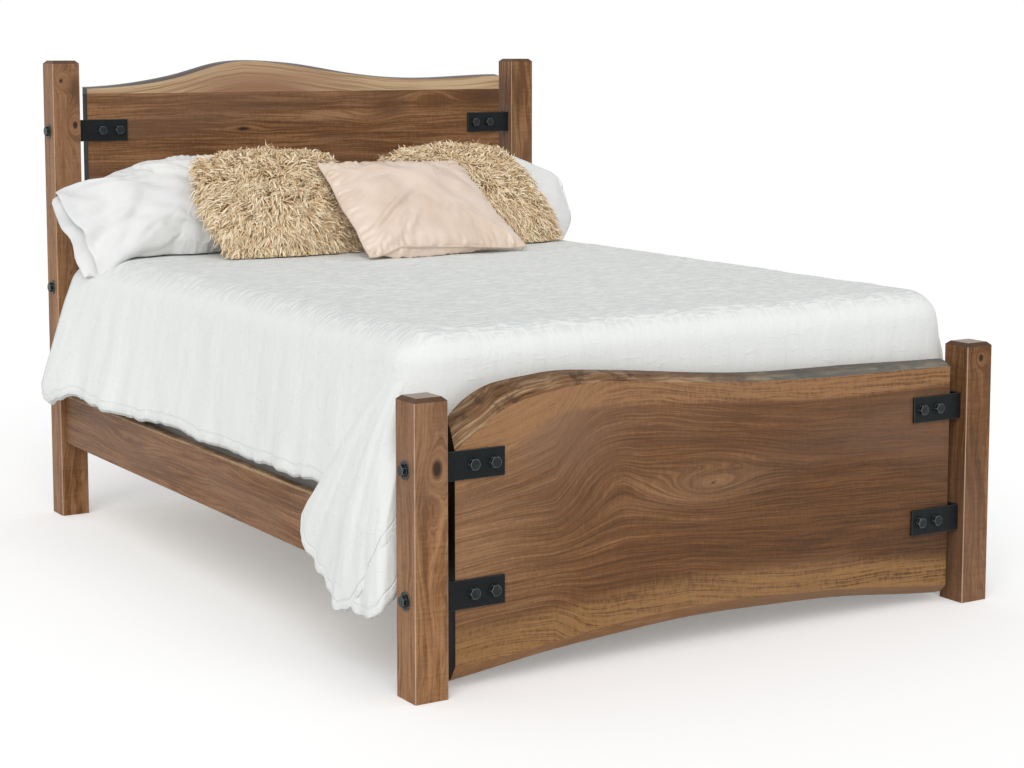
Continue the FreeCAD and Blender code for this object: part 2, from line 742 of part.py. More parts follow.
def corner_drop(side):
    """The coverlet's corner: it falls outside the rail and the foot post, lower than the hems."""
    hem_z = coverlet_top_z - coverlet_side_length
    half_width = mattress_width / 2 + soft_clearance + coverlet_thickness
    stand_off = half_width + coverlet_side_spread - bed_width / 2
    tip_z = hem_z - corner_drop_length
    sections = [
        corner_section(hem_z + overrun, corner_drop_width, corner_drop_bulge / 2, stand_off),
        corner_section((hem_z + tip_z) / 2, corner_drop_middle_width, corner_drop_bulge, stand_off),
        corner_section(tip_z, corner_drop_tip_width, corner_drop_bulge / 2, stand_off)]
    return on_side(Part.makeLoft(sections, True, True), side)


def coverlet():
    """Top, hanging sides and the two foot corners in one piece of cloth."""
    cloth = coverlet_top().fuse([coverlet_skirt(), corner_drop(-1), corner_drop(1)])
    return cloth.removeSplitter()


# Cushions

def cushion_outline(width, height, draw_in, size, level):
    """Four arcs between four corners. They are pulled in at the seam, and swell outwards as the
    outline shrinks towards the crown, so that the top is a round dome."""
    a, b = width / 2 * size, height / 2 * size
    pull = draw_in * size - crown_rounding_share * b * (1 - size)
    corners = [V(-a, -b, level), V(a, -b, level), V(a, b, level), V(-a, b, level)]
    middles = [V(0, -b + pull, level), V(a - pull, 0, level), V(0, b - pull, level), V(-a + pull, 0, level)]
    edges = []
    for i in range(4):
        edges.append(Part.Arc(corners[i], middles[i], corners[(i + 1) % 4]).toShape())
    return Part.Wire(edges)


def cushion(width, height, thickness, draw_in):
    """A crowned cushion lying flat: two domes on a thin seam. A dome's rise at an outline of a given
    size is its full rise times one less the size to a power."""
    half_seam = cushion_seam_thickness / 2
    rise = thickness / 2 - half_seam
    seam = Part.makeLoft([cushion_outline(width, height, draw_in, 1, -half_seam),
                          cushion_outline(width, height, draw_in, 1, half_seam)], True, True)
    halves = []
    for way in (-1, 1):
        outlines = []
        for size in crown_size_shares:
            level = way * (half_seam + rise * (1 - size ** crown_power))
            outlines.append(cushion_outline(width, height, draw_in, size, level))
        halves.append(Part.makeLoft(outlines, True, False))
    return seam.fuse(halves).removeSplitter()


def leaned(shape, size, lean, x, y, roll):
    """Stands a flat cushion up on the coverlet, leaning back, and presses its lower edge flat."""
    width, height = size
    shape = shape.copy()
    shape.rotate(V(0, 0, 0), V(0, 0, 1), roll)
    shape.rotate(V(0, 0, 0), V(1, 0, 0), lean)
    turn, tilt = math.radians(abs(roll)), math.radians(lean)
    rise = (width / 2 * math.sin(turn) + height / 2 * math.cos(turn)) * math.sin(tilt)
    shape.translate(V(x, y, cushion_floor_z + rise - cushion_press))
    box = shape.BoundBox
    under = block(box.XMin - overrun, box.XMax + overrun, box.YMin - overrun, box.YMax + overrun,
                  box.ZMin - overrun, cushion_floor_z)
    return shape.cut(under)


def half_depth(height, lean):
    """How far a leaned cushion's upper edge stands behind its centre."""
    return height / 2 * math.cos(math.radians(lean))


white_centre_y = head_front_y - white_pillow_post_gap - half_depth(white_pillow_height, white_pillow_lean)
row_spacing = (white_pillow_thickness + shaggy_thickness) / 2 + shaggy_row_gap
shaggy_centre_y = white_centre_y - row_spacing / math.sin(math.radians(shaggy_lean))
satin_centre_y = shaggy_centre_y - satin_forward_offset


def white_pillow(side):
    """A long sleeping pillow that leans towards the headboard."""
    x = side * (white_pillow_inner_offset + white_pillow_length / 2)
    form = cushion(white_pillow_length, white_pillow_height, white_pillow_thickness, white_pillow_draw_in)
    return leaned(form, (white_pillow_length, white_pillow_height), white_pillow_lean, x, white_centre_y, 0)


def shaggy_cushion(x, roll):
    """A square cushion that leans on the pillows behind it."""
    form = cushion(shaggy_width, shaggy_height, shaggy_thickness, shaggy_draw_in)
    return leaned(form, (shaggy_width, shaggy_height), shaggy_lean, x, shaggy_centre_y, roll)


def satin_cushion():
    """The front cushion, laid well back against the two shaggy ones."""
    form = cushion(satin_width, satin_height, satin_thickness, satin_draw_in)
    return leaned(form, (satin_width, satin_height), satin_lean, satin_side_offset, satin_centre_y, 0)


def build():
    os.makedirs("parts", exist_ok=True)
    foot_end, head_end = foot_front_y + post_side, head_front_y
    for name, side in SIDES.items():
        export("foot_post_" + name, post(side, foot_front_y, foot_post_height, "foot", foot_end, -1))
        export("head_post_" + name, post(side, head_front_y, head_post_height, "head", head_end, 1))
        export("side_rail_" + name, side_rail(side))
        export("rail_ledger_" + name, ledger(side))
        for end in ("foot", "head"):
            front_y, slab_y, heights = strap_places[end]
            for level, z in zip(("upper", "lower"), heights):
                export("strap_" + end + "_" + name + "_" + level, on_side(strap(front_y, z), side))
    export("footboard_slab", footboard_slab())
    for name, board in headboard_boards().items():
        export(name, board)
    for kind, maker in (("slab", slab_bolt_set), ("post", post_bolt_set)):
        sets = [maker(end, side) for end in ("foot", "head") for side in SIDES.values()]
        for i, piece in enumerate(("bolts", "washers", "nuts")):
            export(kind + "_" + piece, *[solid for one in sets for solid in one[i]])
    corners = []
    for side in SIDES.values():
        corners += [(side, foot_end, -1), (side, head_end, 1)]
    screws = [screw for corner in corners for group in plate_screws(*corner) for screw in group]
    export("rail_hook_plates", *[hook_plate(*c).cut(plate_screws(*c)[1]) for c in corners])
    export("post_catch_plates", *[catch_plate(*c).cut(plate_screws(*c)[0]) for c in corners])
    export("fastener_plate_screws", *screws)
    export("ledger_screws", *ledger_screws(-1), *ledger_screws(1))
    export("slat_screws", *slat_screws(-1), *slat_screws(1))
    for i, y in enumerate(slat_centres()):
        export("slat_" + str(i + 1), slat(y))
    outer_leg = outer_leg_share * beam_reach
    leg_places = (-outer_leg, 0, outer_leg)
    export("centre_support_beam", support_beam())
    for name, y in zip(("foot", "middle", "head"), leg_places):
        export("centre_leg_" + name, support_leg(y))
    export("levelling_feet", *[leveller(y) for y in leg_places])
    export("foundation", soft_block(mattress_length, mattress_width, slat_top_z, foundation_height,
                                    foundation_corner_radius, foundation_edge_radius))
    export("mattress", soft_block(mattress_length, mattress_width, mattress_bottom_z, mattress_height,
                                  mattress_corner_radius, mattress_edge_radius))
    export("coverlet", coverlet())
    for name, side in SIDES.items():
        export("pillow_white_" + name, white_pillow(side))
    export("cushion_shaggy_left", shaggy_cushion(-shaggy_left_offset, 0))
    export("cushion_shaggy_right", shaggy_cushion(shaggy_right_offset, shaggy_right_roll))
    export("cushion_satin", satin_cushion())


build()
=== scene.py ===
import math

import bpy
import bmesh
import numpy as np
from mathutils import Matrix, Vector


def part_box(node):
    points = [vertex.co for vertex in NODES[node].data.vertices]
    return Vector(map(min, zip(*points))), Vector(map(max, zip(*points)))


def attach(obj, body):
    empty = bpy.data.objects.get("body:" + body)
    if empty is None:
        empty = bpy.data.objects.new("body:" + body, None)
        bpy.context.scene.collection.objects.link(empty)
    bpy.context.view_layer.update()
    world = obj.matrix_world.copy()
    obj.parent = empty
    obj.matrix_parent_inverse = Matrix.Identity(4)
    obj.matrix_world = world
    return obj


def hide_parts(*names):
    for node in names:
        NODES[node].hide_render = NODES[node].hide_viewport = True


bl_info = {
    "name": "Live-edge slab bed",
    "version": (1, 0, 0),
    "blender": (4, 5, 0),
    "location": "3D View > Sidebar > Bed",
    "description": "Finishes the bed's wood and iron and dresses it with mattress, coverlet and cushions",
    "category": "Object",
}

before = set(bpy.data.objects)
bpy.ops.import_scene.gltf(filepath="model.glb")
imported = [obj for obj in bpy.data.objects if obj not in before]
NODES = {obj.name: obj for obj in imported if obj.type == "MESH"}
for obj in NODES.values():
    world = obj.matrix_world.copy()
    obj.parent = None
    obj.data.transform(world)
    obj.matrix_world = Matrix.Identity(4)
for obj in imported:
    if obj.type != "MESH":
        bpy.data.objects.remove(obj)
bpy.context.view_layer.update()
UP = np.array([0.0, 0.0, 1.0])


def linear(code):
    """An sRGB hex colour as linear red, green and blue."""
    parts = [int(code[i:i + 2], 16) / 255 for i in (1, 3, 5)]
    return tuple(c / 12.92 if c <= 0.04045 else ((c + 0.055) / 1.055) ** 2.4 for c in parts)


def colour(code, label, text):
    """A colour property whose default is an sRGB hex value."""
    return bpy.props.FloatVectorProperty(name=label, description=text, size=3, subtype="COLOR",
                                         min=0, max=1, default=linear(code))


def length(value, label, text):
    """A length property in metres."""
    return bpy.props.FloatProperty(name=label, description=text, default=value, min=0, unit="LENGTH")


class BedColours(bpy.types.PropertyGroup):
    heartwood: colour("#6F4A2B", "Heartwood", "Walnut between its dark and light growth lines")
    heartwood_light: colour("#A77B55", "Light heartwood", "The lightest growth lines of the walnut")
    heartwood_cool: colour("#7C5F4C", "Cool streak", "The cooler, purplish streaks of the walnut")
    growth_line: colour("#412A1A", "Growth line", "The dark lines and pores of the walnut")
    sapwood: colour("#BEA27E", "Sapwood", "The pale outer wood at a live edge")
    sap_band: colour("#9A7348", "Sapwood band", "The golden wood along the slab's lower edge")
    tan_band: colour("#A07650", "Tan band", "The light warm wood under the slab's upper edge")
    low_wane: colour("#8E6136", "Lower wane", "The smooth orange surface of the slab's lower edge")
    wane: colour("#7A5C40", "Wane", "The rough surface that lay under the bark")
    wane_pale: colour("#A68A6A", "Pale ribs", "The raised ribs of the wane")
    wane_grey: colour("#5C6867", "Weathered wane", "The grey end of the wane")
    board_end: colour("#1D130D", "Board end", "Dark end grain, knots and cracks")
    sap_line: colour("#8B6844", "Sapwood line", "The brown growth lines of the sapwood")
    sap_blush: colour("#8E6347", "Sapwood blush", "The pinkish heart that shows through the sapwood")
    tan_wood: colour("#B28C68", "Tan wood", "The pinkish light wood beside the slab's upper left edge")
    # the posts' corners are painted pale: rubbed wood, with a painted highlight along the arris
    worn_and_highlit_edge: colour("#C9B09A", "Worn edge", "The rubbed corners of the posts")
    chamfer: colour("#3B2B1F", "Post chamfer", "The darker slope round the top of a post")
    # the grey of a post's top is a painted sheen over its end grain
    post_top_sheen: colour("#A39488", "Post top", "The greyed end grain on top of a post")
    poplar: colour("#C9B48C", "Poplar", "Slats, ledgers, beam and legs")
    iron: colour("#131718", "Iron", "The blackened straps and bolts")
    iron_worn: colour("#3C4446", "Worn iron", "Places where the black is thin")
    # rubbed edges of straps and bolt heads, lightened as wear and as a painted highlight
    iron_edge_wear_and_highlight: colour("#7C8486", "Rubbed iron", "The rubbed edges of straps and bolt heads")
    zinc: colour("#B9BCBE", "Zinc", "The plated fasteners between rails and posts")
    nylon: colour("#1B1B1C", "Nylon", "The levelling feet")
    coverlet: colour("#E6E8E6", "Coverlet", "White cotton with a faint cool cast")
    coverlet_shade: colour("#CFD4D2", "Coverlet shade", "The hollows of its ripples")
    pillowcase: colour("#F0F0ED", "Pillowcase", "White percale")
    pillowcase_shade: colour("#DDDFE3", "Pillowcase shade", "The hollows of the percale")
    ticking: colour("#E2E0DA", "Ticking", "Mattress and foundation cloth")
    foundation_shade: colour("#D2CFC8", "Foundation shade", "The darker patches of the foundation's cloth")
    mattress_shade: colour("#D8D6D0", "Mattress shade", "The darker patches of the mattress's cloth")
    shag: colour("#DCBC8E", "Shag", "The ribbon tufts of the shaggy cushions")
    # the light tips of the tufts are a painted highlight
    shag_tip_highlight: colour("#F6E6C8", "Shag tips", "The light tips of the tufts")
    # painted shade on the ground between the tufts and at the ribbons' roots
    shag_shade: colour("#7E6038", "Shag shade", "The ground between the tufts")
    satin: colour("#E0CDBD", "Satin", "The blush front cushion")
    satin_shade: colour("#D3BBA7", "Satin shade", "The hollows of the satin")
    floor: colour("#F6F6F6", "Floor", "The pale floor that the bed stands on")


class BedSizes(bpy.types.PropertyGroup):
    cloth_thickness: length(0.003, "Coverlet thickness", "How thick the coverlet's cloth is")
    fold_depth: length(0.009, "Fold depth", "How far the folds of the hanging sides stand out at the hem")
    hem_band: length(0.030, "Hem band", "How wide the puckered band along the hem is")
    ribbon_length: length(0.042, "Ribbon length", "How long a tuft of the shaggy cushions is")
    ribbon_width: length(0.0042, "Ribbon width", "How wide a tuft is at its middle")
    ribbon_count: bpy.props.IntProperty(name="Ribbons", description="Tufts on one shaggy cushion",
                                        default=14000, min=100)
    piping_radius: length(0.0035, "Piping radius", "Half the thickness of the satin cushion's piping")


def sizes():
    """The scene's sizes."""
    return bpy.context.scene.bed_sizes


def tint(name):
    """One of the scene's colours with its alpha."""
    return (*getattr(bpy.context.scene.bed_colours, name), 1.0)


# Shapes on numpy grids

def grid_faces(rows, columns, first=0):
    """Quads of a grid whose vertices are numbered row by row."""
    r, c = np.meshgrid(np.arange(rows - 1), np.arange(columns - 1), indexing="ij")
    a = first + r * columns + c
    return np.stack([a, a + 1, a + columns + 1, a + columns], -1).reshape(-1, 4)


def joined(grids):
    """Vertices and faces of several grids of points, put one after another."""
    points, faces, first = [], [], 0
    for grid in grids:
        rows, columns = grid.shape[:2]
        points.append(grid.reshape(-1, 3))
        faces.append(grid_faces(rows, columns, first))
        first += rows * columns
    return np.concatenate(points), np.concatenate(faces)


def waves(u, v, length_u, length_v, seed, count=16):
    """A smooth random relief: the sum of sine waves with random directions and phases, whose lengths
    are near length_u along u and length_v along v. Its usual height is about 1."""
    rng = np.random.default_rng(seed)
    total = np.zeros(np.broadcast(u, v).shape)
    for a, b, phase in zip(rng.normal(0, 1, count), rng.normal(0, 1, count),
                           rng.uniform(0, 2 * np.pi, count)):
        total = total + np.sin(2 * np.pi * (a * u / length_u + b * v / length_v) + phase)
    return total * math.sqrt(2 / count)


def smooth(x, low, high):
    """0 below low, 1 above high, with an S between them."""
    t = np.clip((x - low) / (high - low), 0, 1)
    return t * t * (3 - 2 * t)


def make_piece(name, points, faces, material, body, slot, nodes=(), weld=0.0, attribute=None):
    """A mesh object from arrays, welded, shaded smooth, with its normals outward, riding on a body."""
    mesh = bpy.data.meshes.new(name)
    mesh.from_pydata(points.tolist(), [], faces.tolist())
    if attribute:
        values = mesh.attributes.new(attribute[0], "FLOAT", "POINT")
        values.data.foreach_set("value", attribute[1].astype(np.float32))
    if weld:
        shape = bmesh.new()
        shape.from_mesh(mesh)
        bmesh.ops.remove_doubles(shape, verts=shape.verts, dist=weld)
        bmesh.ops.dissolve_degenerate(shape, edges=shape.edges, dist=weld / 10)
        bmesh.ops.recalc_face_normals(shape, faces=shape.faces)
        shape.to_mesh(mesh)
        shape.free()
    mesh.polygons.foreach_set("use_smooth", np.ones(len(mesh.polygons), dtype=bool))
    mesh.update()
    mesh.materials.append(material)
    piece = bpy.data.objects.new(name, mesh)
    bpy.context.scene.collection.objects.link(piece)
    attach(piece, body)
    if nodes:
        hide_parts(*nodes)
    return piece


# Materials

def add(tree, kind, inputs=(), out=0, **settings):
    """Adds a node with its settings. Its kind may be followed by its operation. Inputs are values or other
    nodes' outputs, for its sockets in their order or by their names or numbers, and stops fills a colour
    ramp. Returns the output asked for."""
    kind, _, operation = kind.partition(" ")
    made = tree.nodes.new("ShaderNode" + kind)
    if operation:
        made.operation = operation
    stops = settings.pop("stops", None)
    for key, value in settings.items():
        setattr(made, key, value)
    if stops:
        ramp = made.color_ramp
        while len(ramp.elements) < len(stops):
            ramp.elements.new(0.5)
        for element, (place, shade) in zip(ramp.elements, stops):
            element.position = place
            element.color = shade if hasattr(shade, "__len__") else (shade, shade, shade, 1)
    for key, value in inputs.items() if isinstance(inputs, dict) else enumerate(inputs):
        if isinstance(value, bpy.types.NodeSocket):
            tree.links.new(value, made.inputs[key])
        else:
            made.inputs[key].default_value = value
    return made.outputs[out]


def material(name, **shader):
    """A new material with its Principled shader's constant sockets set. Returns it, its tree and the place
    on the object."""
    made = bpy.data.materials.new(name)
    made.use_nodes = True
    tree = made.node_tree
    for key, value in shader.items():
        tree.nodes["Principled BSDF"].inputs[key.replace("_", " ")].default_value = value
    return made, tree, add(tree, "TexCoord", out="Object")


def coat(tree, under, shade, share, span=None, strength=1.0):
    """Lays one of the scene's colours over another by a share. Where a span is given, the share is how far
    a value has come from the span's one end to the other, times a strength."""
    if span:
        share = add(tree, "MapRange", (share, *span, 0, strength))
    return add(tree, "Mix", {0: share, 6: under, 7: tint(shade)}, 2, data_type="RGBA")


def finished(made, skin, relief=None, strength=0.0, depth=0.0, rough=None):
    """Plugs a colour, a roughness and the bump of a relief into a material's shader."""
    tree = made.node_tree
    looks = {"Base Color": skin, "Roughness": rough}
    if relief is not None:
        looks["Normal"] = add(tree, "Bump", {"Height": relief, "Strength": strength, "Distance": depth})
    for key, value in looks.items():
        if value is not None:
            tree.links.new(value, tree.nodes["Principled BSDF"].inputs[key])
    return made


def give(node_names, made):
    """Gives CAD nodes a material in place of their own."""
    for name in node_names:
        slots = NODES[name].data.materials
        slots.clear()
        slots.append(made)


def cup(tree, where, place, reach):
    """A bell round a place, as exp(-d * d), where d is the distance in reaches: one at its middle, a good
    third at its reach and next to nothing at twice that."""
    away = add(tree, "VectorMath SUBTRACT", (where, place))
    away = add(tree, "VectorMath MULTIPLY", (away, [1 / r for r in reach]))
    square = add(tree, "VectorMath DOT_PRODUCT", (away, away), "Value")
    return add(tree, "Math POWER", (math.exp(-1), square))


def bent_place(tree, where, scale):
    """The place on the object, moved by up to 30 mm by slow noise, so that straight patterns waver."""
    bend = add(tree, "TexNoise", {"Vector": where, "Scale": scale, "Detail": 2.0}, "Color")
    bend = add(tree, "VectorMath MULTIPLY", (bend, (0.03, 0.03, 0.03)))
    return add(tree, "VectorMath", (where, bend))


def edge_line(tree, x, box, line):
    """The height of a line of the figure at x, from its shares of the board's length and height."""
    low, high = box
    across = add(tree, "MapRange", (x, low.x, high.x))
    share = add(tree, "ValToRGB", (across,), stops=line)
    return add(tree, "MapRange", (share, 0, 1, low.z, high.z))


def streaks(tree, along, across, depth, rows, roughness=0.5):
    """Noise that is long along one measure and short across another. Each row says how often it changes in
    a metre along and across, and its detail. Depth is a constant, or a third measure that counts
    0.6 as much as across."""
    made = []
    for lengthwise, crosswise, detail in rows:
        third = depth
        if isinstance(depth, bpy.types.NodeSocket):
            third = add(tree, "Math MULTIPLY", (depth, crosswise * 0.6))
        flow = add(tree, "CombineXYZ", (add(tree, "Math MULTIPLY", (along, lengthwise)),
                                        add(tree, "Math MULTIPLY", (across, crosswise)), third))
        made.append(add(tree, "TexNoise", {"Vector": flow, "Scale": 1.0, "Detail": detail,
                                           "Roughness": roughness}))
    return made


def walnut(name, box, grain, tone, seed, pith=(0, 0), lines=None, knots=(), pale=(), stains=(), flame=1.0,
           fade=(0.0, 0.0), cloud=0.25):
    """Black walnut, planed and oiled to a low sheen. The growth lines are level lines of one smooth field.
    On straight pieces it is the distance from a pith line that wanders, and on a slab the share of the way
    from a low to a high line of its figure, so that the lines run alongside both.

    A knot is a place, its reach, the field's level that it gathers, its push, its spread and the share of its
    reach that is a dark heart: it spreads the lines round it apart and pushes them out. Noise that is long
    along the grain and short across the field draws fine lines and broad streaks, and short dark pores lie
    along the grain. Tone is the darkest and the lightest wood, cloud shades it in patches, and fade paints a
    sheen that makes it lighter along X and Z. A stain is a place, its reach, a strength and a colour, and
    shows most on light wood. A pale band is a distance from its edge, that edge's softness, a strength and a
    colour."""
    made, tree, where = material(name, Roughness=0.52, Specular_IOR_Level=0.2)
    middle = (box[0] + box[1]) / 2
    x, y, z = [add(tree, "SeparateXYZ", (where,), axis) for axis in "XYZ"]
    axis = "XYZ".index(grain)
    along = (x, y, z)[axis]
    slow = [1.5 if a == axis else 5.0 for a in range(3)]
    drift = add(tree, "Mapping", {"Vector": where, "Location": (seed, seed, seed), "Scale": slow})
    wander = add(tree, "TexNoise", {"Vector": drift, "Scale": 1.0, "Detail": 2.0, "Roughness": 0.4})
    if lines:
        top, bottom = [edge_line(tree, x, box, line) for line in lines[:2]]
        rise = add(tree, "Math SUBTRACT", (z, bottom))
        whole = add(tree, "Math SUBTRACT", (top, bottom))
        field = add(tree, "Math DIVIDE", (rise, whole))
        field = add(tree, "Math MULTIPLY", (field, lines[3]))
    else:
        offset = iter(pith)
        heart = [0 if a == axis else middle[a] + next(offset) for a in range(3)]
        away = add(tree, "VectorMath SUBTRACT", (where, heart))
        away = add(tree, "VectorMath MULTIPLY", (away, [int(a != axis) for a in range(3)]))
        field = add(tree, "VectorMath LENGTH", (away,), "Value")
    field = add(tree, "Math MULTIPLY_ADD", (wander, 0.045 * flame, field))
    wobble = add(tree, "TexNoise", {"Vector": drift, "Scale": 6.0, "Detail": 2.0})
    field = add(tree, "Math MULTIPLY_ADD", (wobble, 0.012, field))
    hearts = []
    for place, reach, level, push, spread, heart_share in knots:
        gap = add(tree, "Math SUBTRACT", (field, level))
        gap = add(tree, "Math MULTIPLY_ADD", (gap, -spread, push))
        field = add(tree, "Math MULTIPLY_ADD", (cup(tree, where, place, reach), gap, field))
        if heart_share:
            hearts.append(cup(tree, where, place, [r * heart_share for r in reach]))
    # fine growth lines are 3 to 5 mm apart, broad streaks 20 to 40 mm, pores 0.3 mm wide, flecks 7 by 20 mm
    fine, broad, pores, flecks = streaks(
        tree, along, field, seed,
        ((5.0, 230.0, 4.0), (1.4, 42.0, 3.0), (26.0, 1500.0, 1.0), (150.0, 55.0, 1.0)), 0.55)
    sharp = add(tree, "MapRange", (fine, 0.38, 0.60))
    wide = add(tree, "MapRange", (broad, 0.32, 0.66))
    light = add(tree, "Math MULTIPLY", (wide, 0.32))
    light = add(tree, "Math MULTIPLY_ADD", (sharp, 0.46, light))
    light = add(tree, "Math MULTIPLY_ADD", (flecks, 0.36, light))
    light = add(tree, "MapRange", (light, 0.08, 1.08, *tone))
    patch = add(tree, "TexNoise", {"Vector": drift, "Scale": 2.2, "Detail": 3.0})
    # fade paints a sheen that makes the wood lighter along X and Z
    for measure, weight in ((patch, 2 * cloud), (x, fade[0]), (z, fade[1])):
        light = add(tree, "Math MULTIPLY_ADD", (measure, weight, light))
    light = add(tree, "Math SUBTRACT", (light, cloud + middle.z * fade[1]))
    wood = add(tree, "ValToRGB", (light,),
               stops=[(0.0, tint("growth_line")), (0.5, tint("heartwood")), (1.0, tint("heartwood_light"))])
    wood = coat(tree, wood, "heartwood_cool", wander, (0.48, 0.66), 0.4)
    for place, reach, strength, shade in stains:
        glow = add(tree, "Math MULTIPLY", (light, cup(tree, where, place, reach)))
        wood = coat(tree, wood, shade, glow, (0, 0.6), strength)
    for away, soft, strength, shade in pale:
        edge = add(tree, "Math MULTIPLY_ADD", (fine, soft, away(tree, x, z)))
        edge = add(tree, "Math MULTIPLY_ADD", (broad, soft * 1.5, edge))
        mask = add(tree, "MapRange", (edge, soft * 1.85, soft * 0.65, 0, strength),
                   interpolation_type="SMOOTHSTEP")
        mottle = add(tree, "Math MULTIPLY_ADD", (flecks, 1.4, sharp))
        mottle = add(tree, "MapRange", (mottle, 0.6, 1.45, 0.2))
        wood = coat(tree, wood, shade, add(tree, "Math MULTIPLY", (mask, mottle)))
    spots = add(tree, "MapRange", (pores, 0.56, 0.72, 0, 0.5))
    wood = coat(tree, wood, "growth_line", spots)
    for heart in hearts:
        wood = coat(tree, wood, "board_end", heart, (0.12, 0.6), 0.9)
    wood = surfaces(tree, where, wood, x, box, grain, lines and edge_line(tree, x, box, lines[2]))
    relief = add(tree, "Math MULTIPLY_ADD", (spots, -1.5, fine))
    return finished(made, wood, relief, 0.3, 0.0006)


def surfaces(tree, where, wood, x, box, grain, crest):
    """What differs from face to face: dark end grain, a post's dark chamfer, the end grain of its top greyed
    by a painted sheen, pale rubbed arrises with a painted highlight along them, and the wane on a slab's
    slanted edges."""
    normal = add(tree, "TexCoord", (), "Normal")
    facing = [add(tree, "Math ABSOLUTE", (add(tree, "SeparateXYZ", (normal,), axis),)) for axis in "XYZ"]
    if grain == "Z":
        corner = add(tree, "Math MINIMUM", facing[:2])
        # pale rubbed arrises, with a painted highlight along them
        wood = coat(tree, wood, "worn_and_highlit_edge", corner, (0.45, 0.6), 0.5)
        wood = coat(tree, wood, "chamfer", facing[2], (0.3, 0.45), 0.75)
        # the end grain on top is greyed by a painted sheen
        return coat(tree, wood, "post_top_sheen", facing[2], (0.9, 0.97), 0.85)
    if crest:
        slant = add(tree, "MapRange", (facing[2], 0.1, 0.25))
        skin = bark_skin(tree, where, x, box, crest)
        skin = coat(tree, skin, "low_wane", add(tree, "SeparateXYZ", (normal,), "Z"), (-0.1, -0.2), 0.7)
        wood = add(tree, "Mix", {0: slant, 6: wood, 7: skin}, 2, data_type="RGBA")
    if grain == "X":
        wood = coat(tree, wood, "board_end", facing[0], (0.8, 0.95))
    return wood


def bark_skin(tree, where, x, box, crest):
    """The wood's own surface under the bark: brown, with pale ribs and dark cracks that follow the edge's
    line, dark scars, weathered grey to the right, and a darker rind towards the back."""
    low, high = box
    bent = bent_place(tree, where, 7.0)
    y, z = [add(tree, "SeparateXYZ", (bent,), axis) for axis in "YZ"]
    under = add(tree, "Math SUBTRACT", (crest, z))
    # ribs are 4 to 8 mm apart and 50 to 100 mm long
    ribs, bands = streaks(tree, x, under, y, ((11.0, 170.0, 4.0), (5.0, 45.0, 2.0)), 0.65)
    tone = add(tree, "Math MULTIPLY_ADD", (bands, 0.6, ribs))
    skin = add(tree, "ValToRGB", (tone,), stops=[(0.56, tint("board_end")), (0.68, tint("heartwood")),
                                                 (0.82, tint("wane")), (0.98, tint("wane_pale"))])
    scars = add(tree, "TexNoise", {"Vector": bent, "Scale": 24.0, "Detail": 4.0, "Roughness": 0.6})
    skin = coat(tree, skin, "growth_line", scars, (0.54, 0.66), 0.75)
    skin = coat(tree, skin, "wane_grey", x, (low.x * 0.2, high.x * 0.3), 0.62)
    return coat(tree, skin, "chamfer", y, (low.y + 0.026, low.y + 0.036), 0.4)


def on_front(corner, deep, rows):
    """Knots or stains on a front face. Each row starts with the distance across from a corner, the height,
    the half width and the half height, and all are equally deep."""
    return [((corner.x + across, corner.y, height), (half, deep, tall), *rest)
            for across, height, half, tall, *rest in rows]


